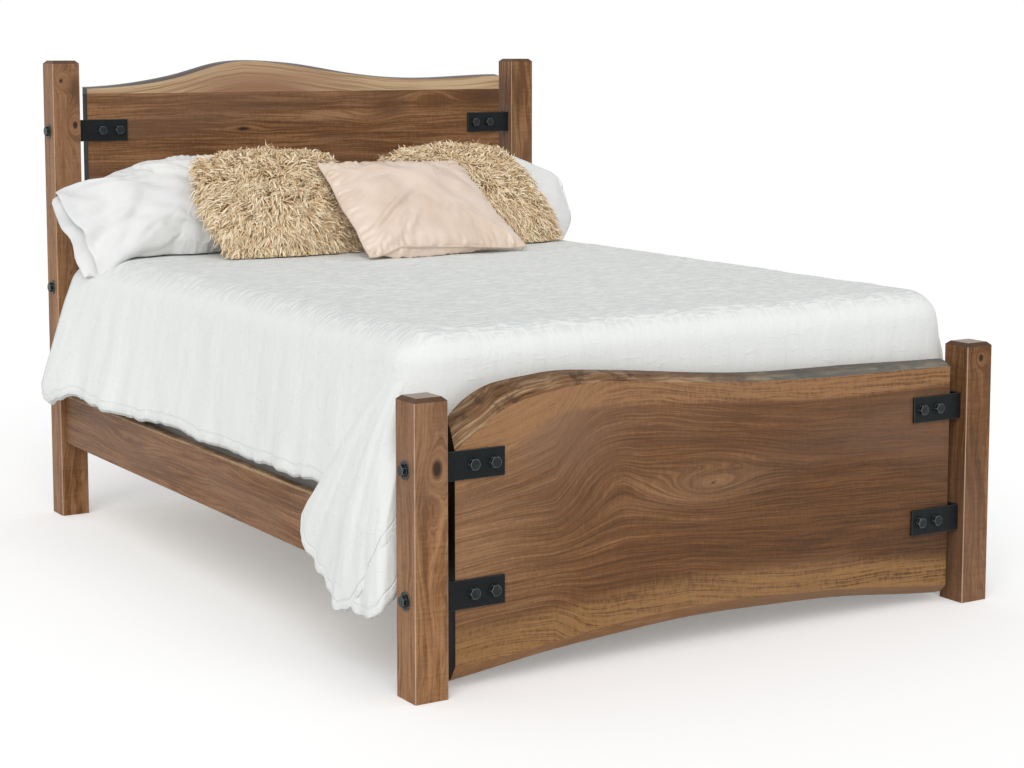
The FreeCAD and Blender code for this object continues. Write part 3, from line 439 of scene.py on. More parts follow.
class FinishWood(bpy.types.Operator):
    """Walnut on posts, rails, slabs and boards, and poplar on the hidden pieces."""
    bl_idname = "bed.finish_wood"
    bl_label = "Finish the wood"

    # Each post's tone, its knots and its stains, measured from its left side and the floor.
    posts = {
        "foot_post_left": ((0.35, 1.15), [(0.055, 0.506, 0.030, 0.050, 0.125, 0.022, 0.9, 0.36),
                                          (0.015, 0.40, 0.030, 0.12, 0.125, -0.008, 0.1, 0),
                                          (0.05, 0.62, 0.025, 0.06, 0.125, -0.006, 0.1, 0)], []),
        "foot_post_right": ((0.10, 0.85), [(0.045, 0.622, 0.020, 0.025, 0.125, 0.016, 0.9, 0.35)], []),
        "head_post_left": ((0.36, 1.15), [(0.066, 1.165, 0.024, 0.035, 0.125, 0.018, 0.9, 0.30),
                                          (0.025, 1.295, 0.018, 0.022, 0.125, 0.014, 0.9, 0.22)],
                           [(0.068, 1.270, 0.018, 0.040, 0.60, "growth_line"),
                            (0.030, 1.16, 0.030, 0.07, 0.35, "sap_blush")]),
        "head_post_right": ((0.20, 1.0), [], [(0.030, 1.250, 0.012, 0.080, 0.60, "growth_line")])}
    # The upper board's knots and stains, measured from the bed's middle and the floor.
    board_knots = [(-0.212, 1.142, 0.06, 0.017, 0.38, 0.012, 0.9, 0.30),
                   (0.45, 1.235, 0.12, 0.030, 0.30, 0.020, 0.8, 0),
                   (0.22, 1.18, 0.10, 0.035, 0.34, -0.014, 0.4, 0),
                   (0.56, 1.15, 0.10, 0.030, 0.36, 0.016, 0.5, 0)]
    board_stains = [(0.66, 1.232, 0.11, 0.035, 0.80, "growth_line"),
                    (0.30, 1.205, 0.07, 0.035, 0.55, "growth_line"),
                    (-0.10, 1.215, 0.22, 0.012, 0.45, "growth_line"),
                    (0.06, 1.175, 0.12, 0.016, 0.50, "tan_wood"),
                    (-0.50, 1.150, 0.20, 0.025, 0.35, "growth_line")]
    # Lines of the slab's figure as shares of its length and height: its upper arris and its lower edge, the
    # lower side of the tan band, and the growth lines above and below the eye.
    slab_arris = [(0.0, 0.778), (0.035, 0.828), (0.075, 0.887), (0.125, 0.925), (0.185, 0.945), (0.25, 0.957),
                  (0.34, 0.944), (0.46, 0.919), (0.60, 0.900), (0.78, 0.887), (1.0, 0.880)]
    slab_edge = [(0.0, 0.066), (0.08, 0.069), (0.18, 0.092), (0.30, 0.116), (0.46, 0.129), (0.62, 0.118),
                 (0.78, 0.093), (0.90, 0.066), (1.0, 0.042)]
    slab_tan = [(0.0, 0.636), (0.046, 0.696), (0.089, 0.753), (0.158, 0.833), (0.210, 0.875), (0.317, 0.871),
                (0.504, 0.841), (0.669, 0.816), (0.815, 0.809), (1.0, 0.815)]
    slab_above = [(0.006, 0.548), (0.056, 0.561), (0.112, 0.583), (0.181, 0.619), (0.210, 0.665),
                  (0.239, 0.717), (0.270, 0.740), (0.315, 0.747), (0.378, 0.738), (0.472, 0.707),
                  (0.568, 0.675), (0.667, 0.657), (0.85, 0.644), (1.0, 0.636)]
    slab_below = [(0.0, 0.334), (0.084, 0.353), (0.198, 0.374), (0.317, 0.384), (0.44, 0.373), (0.568, 0.334),
                  (0.667, 0.314), (0.85, 0.298), (1.0, 0.283)]
    # The slab's field from the line below to the line above, in metres.
    slab_field = 0.235
    # What bends the slab's lines: two bulges at the left, and the eye with its heart.
    slab_knots = [(-0.44, 0.35, 0.11, 0.10, 0, 0.045, 0, 0), (-0.29, 0.43, 0.06, 0.06, 0, -0.026, 0, 0),
                  (-0.022, 0.389, 0.17, 0.075, 0.157, 0, 0.75, 0),
                  (-0.022, 0.389, 0.125, 0.034, 0, 0.044, 0, 0.045)]
    slab_stains = [(-0.58, 0.60, 0.24, 0.12, 0.5, "tan_wood"),
                   (-0.42, 0.52, 0.13, 0.09, 0.7, "heartwood_cool"),
                   (-0.70, 0.30, 0.20, 0.16, 0.4, "tan_wood"), (-0.03, 0.389, 0.20, 0.055, 0.35, "tan_wood")]
    # How far above its lower edge the slab's golden band ends.
    sap_band_width = 0.070
    # The live edge of the crest, over which the sapwood's growth lines lie.
    crest_edge = [(0.0, 0.153), (0.07, 0.20), (0.155, 0.337), (0.22, 0.54), (0.29, 0.83), (0.355, 0.969),
                  (0.42, 0.918), (0.50, 0.765), (0.58, 0.59), (0.70, 0.40), (0.82, 0.347), (0.92, 0.40),
                  (1.0, 0.439)]

    def execute(self, context):
        for index, (name, (tone, knots, stains)) in enumerate(self.posts.items()):
            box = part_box(name)
            give([name], walnut("oiled_walnut_" + name, box, "Z", tone, 3.0 + index * 1.7, pith=(0.05, 0.09),
                                knots=on_front(box[0], 0.05, knots), stains=on_front(box[0], 0.05, stains)))
        for index, side in enumerate(("left", "right")):
            name = "side_rail_" + side
            low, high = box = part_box(name)
            middle = (low + high) / 2
            knots = [((middle.x, -0.12, 0.345), (0.06, 0.17, 0.028), 0.27, 0.020, 0.9, 0),
                     ((middle.x, 0.55, 0.30), (0.06, 0.22, 0.04), 0.31, -0.02, 0.5, 0)]
            # the top 6 mm of each rail is made pale, in the colour named sapwood
            give([name], walnut("oiled_walnut_" + name, box, "Y", (0.18, 1.02), 7.0 + index, pith=(0.02, 0.3),
                                knots=knots, pale=[(self.below(high.z - 0.006), 0.004, 0.7, "sapwood")]))
        give(["footboard_slab"], self.slab())
        for index, level in enumerate(("bottom", "lower", "middle", "upper")):
            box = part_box("headboard_" + level + "_board")
            knots, stains = (self.board_knots, self.board_stains) if level == "upper" else ([], [])
            front = Vector((0, box[0].y, 0))
            give(["headboard_" + level + "_board"],
                 walnut("oiled_walnut_" + level + "_board", box, "X", (0.17, 0.98), 11.0 + index * 2.3,
                        pith=(0.03, 0.16 + 0.05 * index), knots=on_front(front, 0.1, knots),
                        stains=on_front(front, 0.1, stains)))
        give(["headboard_live_edge_board"], self.sapwood_board())
        hidden = [n for n in NODES if n.startswith(("slat_", "rail_ledger", "centre_")) and n != "slat_screws"]
        give(hidden, self.poplar())
        return {"FINISHED"}

    def below(self, height):
        """How far a point lies below a height."""
        return lambda tree, x, z: add(tree, "Math SUBTRACT", (height, z))

    def slab(self):
        """The footboard's figure: lines that bend steeply down at the left and run on level, a long eye at
        the middle, a tan band under the upper edge that widens to the left, and golden mottled sapwood
        along the lower one."""
        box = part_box("footboard_slab")
        front = Vector((0, box[0].y, 0))

        def above_sap_band(tree, x, z):
            """How far a point lies above the golden band's upper side."""
            edge = add(tree, "Math", (edge_line(tree, x, box, self.slab_edge), self.sap_band_width))
            return add(tree, "Math SUBTRACT", (z, edge))

        def below_tan_band(tree, x, z):
            """How far a point lies below the tan band's lower side."""
            return add(tree, "Math SUBTRACT", (edge_line(tree, x, box, self.slab_tan), z))

        return walnut("oiled_walnut_slab", box, "X", (0.06, 0.70), 1.3,
                      lines=(self.slab_above, self.slab_below, self.slab_arris, self.slab_field),
                      knots=on_front(front, 0.2, self.slab_knots),
                      stains=on_front(front, 0.2, self.slab_stains),
                      pale=[(above_sap_band, 0.030, 0.85, "sap_band"),
                            (below_tan_band, 0.012, 0.8, "tan_band")],
                      # lighter towards the slab's left and its top: a painted sheen
                      flame=0.6, fade=(-0.19, 0.22), cloud=0.16)

    def sapwood_board(self):
        """Walnut sapwood at a live edge: cream wood with faint brown growth lines, and a dark rough top."""
        made, tree, where = material("oiled_walnut_sapwood", Roughness=0.45)
        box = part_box("headboard_live_edge_board")
        low = box[0]
        slow = add(tree, "Mapping", {"Vector": where, "Scale": (2.0, 8.0, 8.0)})
        wander = add(tree, "TexNoise", {"Vector": slow, "Scale": 1.0, "Detail": 2.0})
        x, z = [add(tree, "SeparateXYZ", (where,), axis) for axis in "XZ"]
        away = add(tree, "Math SUBTRACT", (edge_line(tree, x, box, self.crest_edge), z))
        away = add(tree, "Math MULTIPLY_ADD", (wander, 0.03, away))
        fine, broad = streaks(tree, x, away, 0.0, ((3.0, 260.0, 3.0), (1.5, 70.0, 2.0)))
        brown = add(tree, "Math MULTIPLY_ADD", (broad, 1.1, fine))
        wood = coat(tree, tint("sapwood"), "sap_line", brown, (0.97, 1.22), 0.9)
        blush = cup(tree, where, (-0.16, low.y, low.z), (0.26, 0.2, 0.075))
        wood = coat(tree, wood, "sap_blush", blush, (0.12, 0.85), 0.85)
        normal = add(tree, "TexCoord", (), "Normal")
        nx, nz = [add(tree, "SeparateXYZ", (normal,), axis) for axis in "XZ"]
        wood = coat(tree, wood, "chamfer", nz, (0.15, 0.35))
        wood = coat(tree, wood, "board_end", add(tree, "Math ABSOLUTE", (nx,)), (0.8, 0.95))
        return finished(made, wood, fine, 0.3, 0.0006)

    def poplar(self):
        """Planed poplar: pale yellow-green wood with faint streaks, left dry, so it is matt."""
        made, tree, where = material("planed_poplar", Roughness=0.65)
        fine = add(tree, "Mapping", {"Vector": where, "Scale": (30.0, 30.0, 30.0)})
        streak = add(tree, "TexNoise", {"Vector": fine, "Scale": 1.0, "Detail": 4.0})
        return finished(made, coat(tree, tint("poplar"), "sapwood", streak), streak, 0.2, 0.0004)


class FinishIron(bpy.types.Operator):
    """Blackened iron on straps and bolts, zinc on the hidden fasteners, nylon on the levelling feet."""
    bl_idname = "bed.finish_iron"
    bl_label = "Finish the metal"

    def execute(self, context):
        give([n for n in NODES if n.startswith("strap_")],
             self.black_iron("powder_coated_iron", roughness=0.5, wear=0.15, gloss=0.16, rubbed=0.0012))
        give(["slab_bolts", "slab_washers", "slab_nuts", "post_bolts", "post_washers", "post_nuts"],
             self.black_iron("blackened_steel_bolts", roughness=0.30, wear=0.50, gloss=0.28, rubbed=0.0026))
        give(["rail_hook_plates", "post_catch_plates", "fastener_plate_screws", "ledger_screws",
              "slat_screws"], self.zinc())
        give(["levelling_feet"], self.nylon())
        return {"FINISHED"}

    def black_iron(self, name, roughness, wear, gloss, rubbed):
        """Black coat on steel: nearly black with a cool sheen, finely pebbled, greyer in thin places by its
        wear, and brighter along its edges, where the surface turns within the rubbed width: rubbed wear, and a
        painted highlight."""
        made, tree, where = material(name, Specular_IOR_Level=gloss)
        cloud = add(tree, "TexNoise", {"Vector": where, "Scale": 60.0, "Detail": 4.0, "Roughness": 0.65})
        # the coat's pebbling is about a millimetre
        pebble = add(tree, "TexNoise", {"Vector": where, "Scale": 900.0, "Detail": 2.0})
        skin = coat(tree, tint("iron"), "iron_worn", cloud, (0.5, 0.75), wear)
        blunt = add(tree, "Bevel", {"Radius": rubbed}, samples=4)
        plain = add(tree, "NewGeometry", (), "Normal")
        turn = add(tree, "VectorMath DOT_PRODUCT", (blunt, plain), "Value")
        # the edges are painted lighter, as rubbed wear and as a painted highlight
        skin = coat(tree, skin, "iron_edge_wear_and_highlight", turn, (0.995, 0.86), 0.35 + wear)
        rough = add(tree, "MapRange", (cloud, 0, 1, roughness - 0.08, roughness + 0.14))
        return finished(made, skin, pebble, 0.25, 0.0004, rough)

    def zinc(self):
        """Zinc plating: a pale blue-grey metal with a faint spangle."""
        made, tree, where = material("zinc_plated_steel", Metallic=1.0)
        spangle = add(tree, "TexVoronoi", {"Vector": where, "Scale": 400.0}, "Color")
        rough = add(tree, "MapRange", (spangle, 0, 1, 0.3, 0.45))
        return finished(made, coat(tree, tint("zinc"), "iron_worn", rough), rough=rough)

    def nylon(self):
        """Moulded nylon: black and matt with a fine grain."""
        made, tree, where = material("moulded_nylon", Roughness=0.55)
        grain = add(tree, "TexNoise", {"Vector": where, "Scale": 1500.0, "Detail": 2.0})
        return finished(made, coat(tree, tint("nylon"), "iron", grain), grain, 0.2, 0.0003)


# Bedding

def rounded_block(low, high, corner, edge):
    """A block with rounded upright corners and rounded rims as one closed grid: a rounded rectangle is
    carried up a profile that turns in at bottom and top by quarter circles, and its rows shrink to the
    middle at both ends. Each corner's arc takes a share of its quarter of the columns, and the straight
    runs beside it take the rest."""
    centre = (np.array(low) + np.array(high)) / 2
    half = (np.array(high) - np.array(low)) / 2
    columns, arc_share = 144, 0.4
    angle = np.linspace(0, 2 * np.pi, columns, endpoint=False)
    quarter = np.floor(angle / (np.pi / 2)).astype(int)
    sign_x = np.where((quarter == 0) | (quarter == 3), 1, -1)
    sign_y = np.where(quarter < 2, 1, -1)
    turn = (angle - quarter * np.pi / 2) / (np.pi / 2)
    local = np.clip((turn - 0.5) / arc_share + 0.5, 0, 1) * np.pi / 2
    run = np.clip(np.abs(turn - 0.5) - arc_share / 2, 0, 1) / (0.5 - arc_share / 2)
    even = (quarter % 2) == 0
    use = np.where(even, local, np.pi / 2 - local)
    on_x_side = np.where(even, turn < 0.5, turn >= 0.5)
    lean_x = np.where(on_x_side, 1.0, 1 - run)
    lean_y = np.where(on_x_side, 1 - run, 1.0)
    rim = [(edge * (1 - np.sin(a)), -half[2] + edge * (1 - np.cos(a))) for a in np.linspace(0, np.pi / 2, 8)]
    sides = [(0.0, z) for z in np.linspace(-half[2] + edge, half[2] - edge, 14)[1:-1]]
    rings = []
    for inset, z in rim + sides + [(inset, -z) for inset, z in reversed(rim)]:
        arc = max(corner - inset, 0.002)
        x = sign_x * ((half[0] - inset - arc) * lean_x + arc * np.cos(use))
        y = sign_y * ((half[1] - inset - arc) * lean_y + arc * np.sin(use))
        rings.append(np.stack([x, y, np.full_like(x, z)], -1))
    shrink = [np.array([share, share, 1]) for share in [*np.linspace(0, 1, 10)[:-1] * 0.96, 0.97]]
    whole = np.array([rings[0] * s for s in shrink] + rings + [rings[-1] * s for s in reversed(shrink)])
    return np.concatenate([whole, whole[:, :1]], 1) + centre


def woven_cloth(name, base, shade, sheen, relief=0.0004, crease=0.0):
    """Woven cotton: matt, with a soft sheen where it turns away, and soft creases where asked. Its threads
    are finer than the render shows, so they are drawn a little coarser."""
    made, tree, where = material(name, Roughness=0.9, Sheen_Weight=sheen, Sheen_Roughness=0.4)
    thread = 0.0006
    height = add(tree, "TexNoise", {"Vector": where, "Scale": 1 / (thread * 2), "Detail": 2.0})
    soft = add(tree, "TexNoise", {"Vector": where, "Scale": 9.0, "Detail": 3.0})
    cloth = coat(tree, tint(base), shade, soft, (0.3, 0.7), 0.5)
    if crease:
        folds = add(tree, "TexNoise", {"Vector": where, "Scale": 22.0, "Detail": 4.0, "Distortion": 1.2})
        height = add(tree, "Math MULTIPLY_ADD", (folds, crease, height))
    return finished(made, cloth, height, 0.5, relief)


class MakeFoundation(bpy.types.Operator):
    """The foundation under the mattress: a covered frame with narrow rounded rims."""
    bl_idname = "bed.make_foundation"
    bl_label = "Make the foundation"

    def execute(self, context):
        points, faces = joined([rounded_block(*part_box("foundation"), corner=0.075, edge=0.008)])
        cloth = woven_cloth("woven_ticking_foundation", "ticking", "foundation_shade", sheen=0.1)
        piece = make_piece("foundation_cover", points, faces, cloth, "foundation", "foundation_ticking",
                           ["foundation"], weld=0.0002)
        return {"FINISHED"}


class MakeMattress(bpy.types.Operator):
    """The mattress: a deep block with soft rims."""
    bl_idname = "bed.make_mattress"
    bl_label = "Make the mattress"

    def execute(self, context):
        points, faces = joined([rounded_block(*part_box("mattress"), corner=0.080, edge=0.070)])
        cloth = woven_cloth("quilted_knit_ticking", "ticking", "mattress_shade", sheen=0.2)
        piece = make_piece("mattress_cover", points, faces, cloth, "bedding", "mattress_ticking",
                           ["mattress"], weld=0.0002)
        return {"FINISHED"}


def crinkled_cotton():
    """Crinkled cotton: white, matt, woven in narrow broken ripples that run across the bed and down its
    sides, with a faint cool shade in their hollows. The hanging sides are crumpled lightly, and a stitched
    line and puckers mark the hem. The relief is the sum of all these, each by its own weight."""
    made, tree, where = material("crinkled_cotton_matelasse", Roughness=0.85, Sheen_Weight=0.15,
                                 Sheen_Roughness=0.5)
    normal = add(tree, "TexCoord", (), "Normal")
    facing = [add(tree, "Math ABSOLUTE", (add(tree, "SeparateXYZ", (normal,), axis),)) for axis in "YZ"]
    foot = add(tree, "MapRange", (facing[0], 0.5, 0.8))
    top = add(tree, "MapRange", (facing[1], 0.6, 0.9))
    bent = bent_place(tree, where, 14.0)
    # ripples are 8 to 10 mm apart and 30 to 50 mm long, crumples 10 mm high and 50 mm long, and upright
    # crumples 60 mm apart
    side_way, foot_way, crumple, upright = [
        add(tree, "TexNoise", {"Vector": add(tree, "Mapping", {"Vector": bent, "Scale": way}), "Scale": 1.0,
                               "Detail": detail, "Roughness": 0.5})
        for way, detail in (((32.0, 112.0, 22.0), 2.0), ((110.0, 22.0, 14.0), 2.0), ((22.0, 22.0, 95.0), 3.0),
                            ((16.0, 16.0, 3.0), 2.0))]
    ripple = add(tree, "Mix", {0: foot, 2: side_way, 3: foot_way})
    ripple = add(tree, "MapRange", (ripple, 0.38, 0.62), interpolation_type="SMOOTHSTEP")
    depth = add(tree, "MapRange", (top, 0, 1, 0.15, 1.5))
    height = add(tree, "Math MULTIPLY", (ripple, depth))
    weave = add(tree, "TexNoise", {"Vector": where, "Scale": 700.0, "Detail": 1.0})
    height = add(tree, "Math MULTIPLY_ADD", (weave, 0.12, height))
    crumple = add(tree, "MapRange", (crumple, 0.56, 0.78))
    crumple = add(tree, "Math MULTIPLY_ADD", (upright, 6.0, crumple))
    hanging = add(tree, "MapRange", (top, 0.6, 0.0, 0, 0.5))
    height = add(tree, "Math MULTIPLY_ADD", (crumple, hanging, height))
    hem = add(tree, "Attribute", (), "Fac", attribute_name="hem")
    band = sizes().hem_band
    inside = add(tree, "MapRange", (hem, band, band * 0.8))
    gathers = add(tree, "TexNoise", {"Vector": where, "Scale": 70.0, "Detail": 2.0, "Distortion": 0.8})
    gathers = add(tree, "Math MULTIPLY", (gathers, inside))
    height = add(tree, "Math MULTIPLY_ADD", (gathers, 1.6, height))
    stitch = add(tree, "Math ABSOLUTE", (add(tree, "Math SUBTRACT", (hem, band)),))
    stitch = add(tree, "MapRange", (stitch, 0.004, 0.0), interpolation_type="SMOOTHSTEP")
    height = add(tree, "Math MULTIPLY_ADD", (stitch, -0.7, height))
    hollow = add(tree, "MapRange", (ripple, 0.5, 0.0, 0, 0.5))
    hollow = add(tree, "Math MULTIPLY", (hollow, depth))
    hollow = add(tree, "Math MULTIPLY_ADD", (stitch, 0.08, hollow))
    return finished(made, coat(tree, tint("coverlet"), "coverlet_shade", hollow), height, 0.7, 0.0024)


class MakeCoverlet(bpy.types.Operator):
    """The coverlet: a flat top, three hanging sides and a folded corner at each side of the foot."""
    bl_idname = "bed.make_coverlet"
    bl_label = "Make the coverlet"

    # How far inside the sides the skirt begins, the radius of the rim and of the upright corners, how far the
    # cloth stands off the mattress, and the depth at which its spread is measured.
    inner = 0.14
    rim = 0.072
    corner = 0.085
    ease = 0.0065
    full_drop = 0.392
    # How deep the sides and the foot hang, how much deeper the sides hang at the head end, how far the sides
    # lean out at their hem, and how far they swell at the head end.
    side_drop, foot_drop, head_drop = 0.390, 0.345, 0.034
    lean_out, head_swell = 0.062, 0.080
    flat_rows, arc_rows, hang_rows = 6, 11, 26
    # A point this far from the hem counts as plain cloth.
    plain = 1.0
    # Each flap is a table of angles from the plumb line, towards the head, and of the hem's distance from
    # the mattress's corner at them, then how far it stands off the side, its seed, and whether it is outer.
    flaps = [
        (([-9.0, -5.0, -1.0, 3.0, 7.0, 10.5, 13.0, 15.5, 18.5, 23.0, 28.5, 33.5, 36.5, 38.5],
          [0.40, 0.43, 0.475, 0.53, 0.585, 0.632, 0.658, 0.667, 0.652, 0.640, 0.636, 0.632, 0.618, 0.590]),
         0.015, 41, True),
        (([-9.0, -6.0, -3.5, -1.0, 2.0, 5.5, 9.5, 13.5, 17.5, 20.0],
          [0.47, 0.54, 0.585, 0.612, 0.628, 0.636, 0.640, 0.630, 0.600, 0.56]), 0.002, 51, False)]

    def execute(self, context):
        low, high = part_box("mattress")
        cover_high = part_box("coverlet")[1]
        self.top = cover_high.z
        self.half = high.x + self.ease
        self.foot = low.y - self.ease
        self.head = cover_high.y
        made = [self.top_grid(), self.skirt_grid()]
        for side in (-1, 1):
            for table, lift, seed, outer in self.flaps:
                made.append(self.fan(side, table, lift, seed + (side > 0) * 7, outer))
        grids, hems = zip(*made)
        points, faces = joined(grids)
        hem = np.concatenate([h.ravel() for h in hems])
        piece = make_piece("coverlet_cloth", points, faces, crinkled_cotton(), "bedding", "white_coverlet",
                           ["coverlet"], weld=0.0004, attribute=("hem", hem))
        thick = piece.modifiers.new("cloth", "SOLIDIFY")
        thick.thickness = sizes().cloth_thickness
        thick.offset = -1
        return {"FINISHED"}

    def side_places(self):
        """Where the rows of the grid stand along the sides, and across the foot."""
        ys = np.linspace(self.head, self.foot + self.inner, 130)
        xs = np.linspace(-self.half + self.inner, self.half - self.inner, 96)
        return ys, xs

    def top_relief(self, x, y):
        """Long shallow hollows and finer ripples of the top, never more than a few millimetres."""
        hollows = waves(x, y, 0.6, 0.4, 3) * 0.0010
        ripple = waves(x, y, 0.20, 0.06, 4) * 0.0005
        return np.clip(hollows + ripple - 0.0018, -0.004, -0.0002)

    def top_grid(self):
        """The flat top: an even grid at the relief's height, and its distance from the hem."""
        y, x = np.meshgrid(*self.side_places(), indexing="ij")
        return np.stack([x, y, self.top + self.top_relief(x, y)], -1), np.full(x.shape, self.plain)

    def perimeter(self):
        """The skirt's columns from the left head end round the foot to the right head end. Each has its inner
        point on the top and its direction outward."""
        ys, xs = self.side_places()
        turns = np.linspace(0, np.pi / 2, 30)
        left = [(-self.half + self.inner, y, -1.0, 0.0) for y in ys[:-1]]
        first = [(-self.half + self.inner, self.foot + self.inner, -math.cos(a), -math.sin(a)) for a in turns]
        foot = [(x, self.foot + self.inner, 0.0, -1.0) for x in xs[1:-1]]
        rest = [(-x, y, -dx, dy) for x, y, dx, dy in reversed(first)]
        right = [(-x, y, -dx, dy) for x, y, dx, dy in reversed(left)]
        return np.array(left + first + foot + rest + right)

    def skirt_grid(self):
        """Each column runs flat to the rim, round it on a quarter circle, and hangs down to its hem. The side
        moves outward with depth, most at the head end, and long soft folds deepen towards the hem."""
        x0, y0, dx, dy = self.perimeter().T
        turned = np.hypot(np.diff(dx), np.diff(dy)) * self.corner
        along = np.concatenate([[0], np.cumsum(np.hypot(np.diff(x0), np.diff(y0)) + turned)])
        side, foot = np.abs(dx), -dy
        hem = self.hem_depth(along, y0, side)
        # each row has how far out it lies, how deep, and its share of the top's relief
        rows = [(share * (self.inner - self.rim), 0.0, 1.0)
                for share in np.linspace(0, 1, self.flat_rows + 1)[:-1]]
        for share in np.linspace(0, 1, self.arc_rows):
            turn = share * np.pi / 2
            depth = self.rim * (1 - math.cos(turn))
            out = self.inner - self.rim + self.rim * math.sin(turn)
            rows.append((out + self.spread(depth, y0, side, foot), depth, 1 - share))
        for share in np.linspace(0, 1, self.hang_rows + 1)[1:]:
            depth = self.rim + share * (hem - self.rim)
            out = self.inner + self.spread(depth, y0, side, foot)
            rows.append((out + self.folds(along, depth, side, foot, hem), depth, 0.0))
        grid, edge = [], []
        for out, depth, relief in rows:
            gx, gy = self.plan(x0, y0, dx, dy, out)
            grid.append(np.stack([gx, gy, self.top - depth + self.top_relief(gx, gy) * relief], -1))
            edge.append(np.where(depth > self.rim, hem - depth, self.plain))
        return np.array(grid).transpose(1, 0, 2), np.array(edge).T

    def plan(self, x0, y0, dx, dy, out):
        """A point some way outward of the inner line. On the flat sides it lies straight out, and at a corner
        it runs out squarely first and then to a round turn."""
        straight = np.minimum(out, self.inner - self.corner)
        past = out - straight
        lead_x = np.where(np.abs(dx) > 1e-6, np.sign(dx) * straight, 0)
        lead_y = np.where(np.abs(dy) > 1e-6, -straight, 0)
        return x0 + lead_x + dx * past, y0 + lead_y + dy * past

    def hem_depth(self, along, y0, side):
        """How far below the top each column ends: the sides' hem wavers, and the foot's is a little higher."""
        zero = 0 * along
        level = self.side_drop + 0.006 * waves(along, zero, 0.5, 1, 21)
        level = level + 0.0015 * waves(along, zero, 0.11, 1, 22)
        level = level + self.head_drop * smooth(y0, 0.80, 0.96)
        foot = self.foot_drop + 0.002 * waves(along, zero, 0.2, 1, 23)
        return level * side ** 2 + foot * (1 - side ** 2)

    def spread(self, depth, y0, side, foot):
        """How far the cloth stands out at a depth below the top: the sides lean out evenly, more towards the
        head end, where they swell most just above the hem."""
        share = np.clip(depth / self.full_drop, 0, 1.1)
        body = self.lean_out * (0.35 * np.sqrt(share) * smooth(share, 0, 0.15) + 0.65 * share)
        swell = np.interp(depth, [0, 0.04, 0.13, 0.26, 0.37, 0.41, 0.43], [0, 0.25, 0.5, 0.75, 1.0, 0.9, 0.7])
        head = self.head_swell * smooth(y0, -0.2, 0.95) ** 2 * swell
        return (body + head) * side ** 2 + 0.004 * share * foot ** 2

    def folds(self, along, depth, side, foot, hem):
        """Soft upright folds, deeper towards the hem, gentle crumples, and the hem's rolled edge."""
        share = depth / self.full_drop
        long = waves(along, depth, 0.5, 1.6, 31) * 0.5 + waves(along, depth, 0.24, 1.1, 32) * 0.35
        deep = sizes().fold_depth * share ** 1.3 * long
        crumple = waves(along, depth, 0.10, 0.18, 34) * 0.0012 * share
        band = smooth(depth, hem - sizes().hem_band, hem - sizes().hem_band * 0.6)
        gather = waves(along, depth, 0.055, 0.20, 33) * 0.0012 * band
        roll = -0.006 * np.clip((depth - hem + 0.010) / 0.010, 0, 1) ** 2
        return (deep + crumple + gather) * (side ** 2 + 0.3 * foot ** 2) + roll * side ** 2

    def fan(self, side, table, lift, seed, outer):
        """A fold of the foot's cloth that hangs over the side like a fan from the mattress's corner. A point
        is given by its angle from the plumb line and its distance from the corner. It starts just under the
        skirt, follows the corner's rounding, and stands off the side as it comes down. Long and fine waves
        crease it, it puffs out at its middle, and its hem rolls in."""
        angles, reach = np.array(table[0]), np.array(table[1])
        u = np.linspace(angles[0], angles[-1], 64 if outer else 40)
        soft = np.interp(u[:, None] + np.linspace(-0.9, 0.9, 7), angles, reach).mean(1)
        far = soft + 0.003 * waves(u, 0 * u, 7.0, 1, seed)
        angle, share = np.meshgrid(np.radians(u), np.linspace(0, 1, 66 if outer else 50) ** 0.9, indexing="ij")
        radius = share * far[:, None]
        across = radius * np.sin(angle)
        depth = 0.024 + radius * np.cos(angle) - 0.020 * share
        over = np.clip(1 - depth / self.rim, 0, 1)
        rim = self.rim * (1 - np.sqrt(1 - over ** 2))
        y = np.maximum(self.foot + 0.030 + np.maximum(across, -0.022), self.foot + rim + 0.010)
        behind = np.clip(-across - 0.022, 0, 0.2)
        turn = np.clip(self.foot + self.corner - y, 0, self.corner - rim - 0.004)
        corner = self.half - self.corner + np.sqrt((self.corner - rim) ** 2 - turn ** 2)
        rounding = self.corner - np.sqrt(self.corner ** 2 - turn ** 2)
        start = 0.06 + 0.13 * smooth(-angle, math.radians(-7), math.radians(1))
        emerge = smooth(depth, start, start + 0.10)
        facing = np.sqrt(1 - (turn / self.corner) ** 2)
        stand = self.spread(depth, y, 1, 0) * (facing ** 3 + (1 - facing ** 3) * emerge)
        lifted = -0.006 + (lift + 0.006) * smooth(depth, start, start + 0.23)
        long = waves(angle, radius, 0.30, 2.0, seed + 1) * 0.0055 * share ** 1.2
        fine = waves(angle * 0.8, radius, 0.060, 0.6, seed + 2) * 0.0015 * share ** 2
        puff = (0.012 if outer else 0.024) * np.sin(np.pi * np.linspace(0, 1, len(u)))[:, None] * share ** 1.5
        gap = far[:, None] - radius
        roll = -0.006 * np.clip((0.010 - gap) / 0.010, 0, 1) ** 2
        x = corner + 0.7 * emerge * rounding + stand + lifted + (long + fine + puff) * emerge + roll
        grid = np.stack([side * (x - behind), y - 0.1 * behind, self.top - depth], -1)
        hem = np.where(emerge > 0, gap, self.plain)
        if outer:
            grid, hem = self.turned_under(grid, hem, side)
        return (grid, hem) if side < 0 else (grid[::-1], hem[::-1])

    def turned_under(self, grid, hem, side):
        """Adds rows that turn the fan's fold edge round and back beneath it."""
        edge, before = grid[-1], grid[-3]
        way = edge - before
        way = way / np.maximum(np.linalg.norm(way, axis=1, keepdims=True), 1e-9)
        inward = np.array([-side, 0.0, 0.0])
        grow = np.linspace(0, 1, len(edge))[:, None]
        radius = 0.006 * smooth(grow, 0.05, 0.4)
        rows = [edge + way * radius * math.sin(a) + inward * radius * (1 - math.cos(a))
                for a in (0.7, 1.4, 2.1, 2.8)]
        rows += [rows[-1] - way * back * grow for back in (0.015, 0.04)]
        return np.concatenate([grid, np.array(rows)]), np.concatenate([hem, np.tile(hem[-1], (len(rows), 1))])


# Cushions

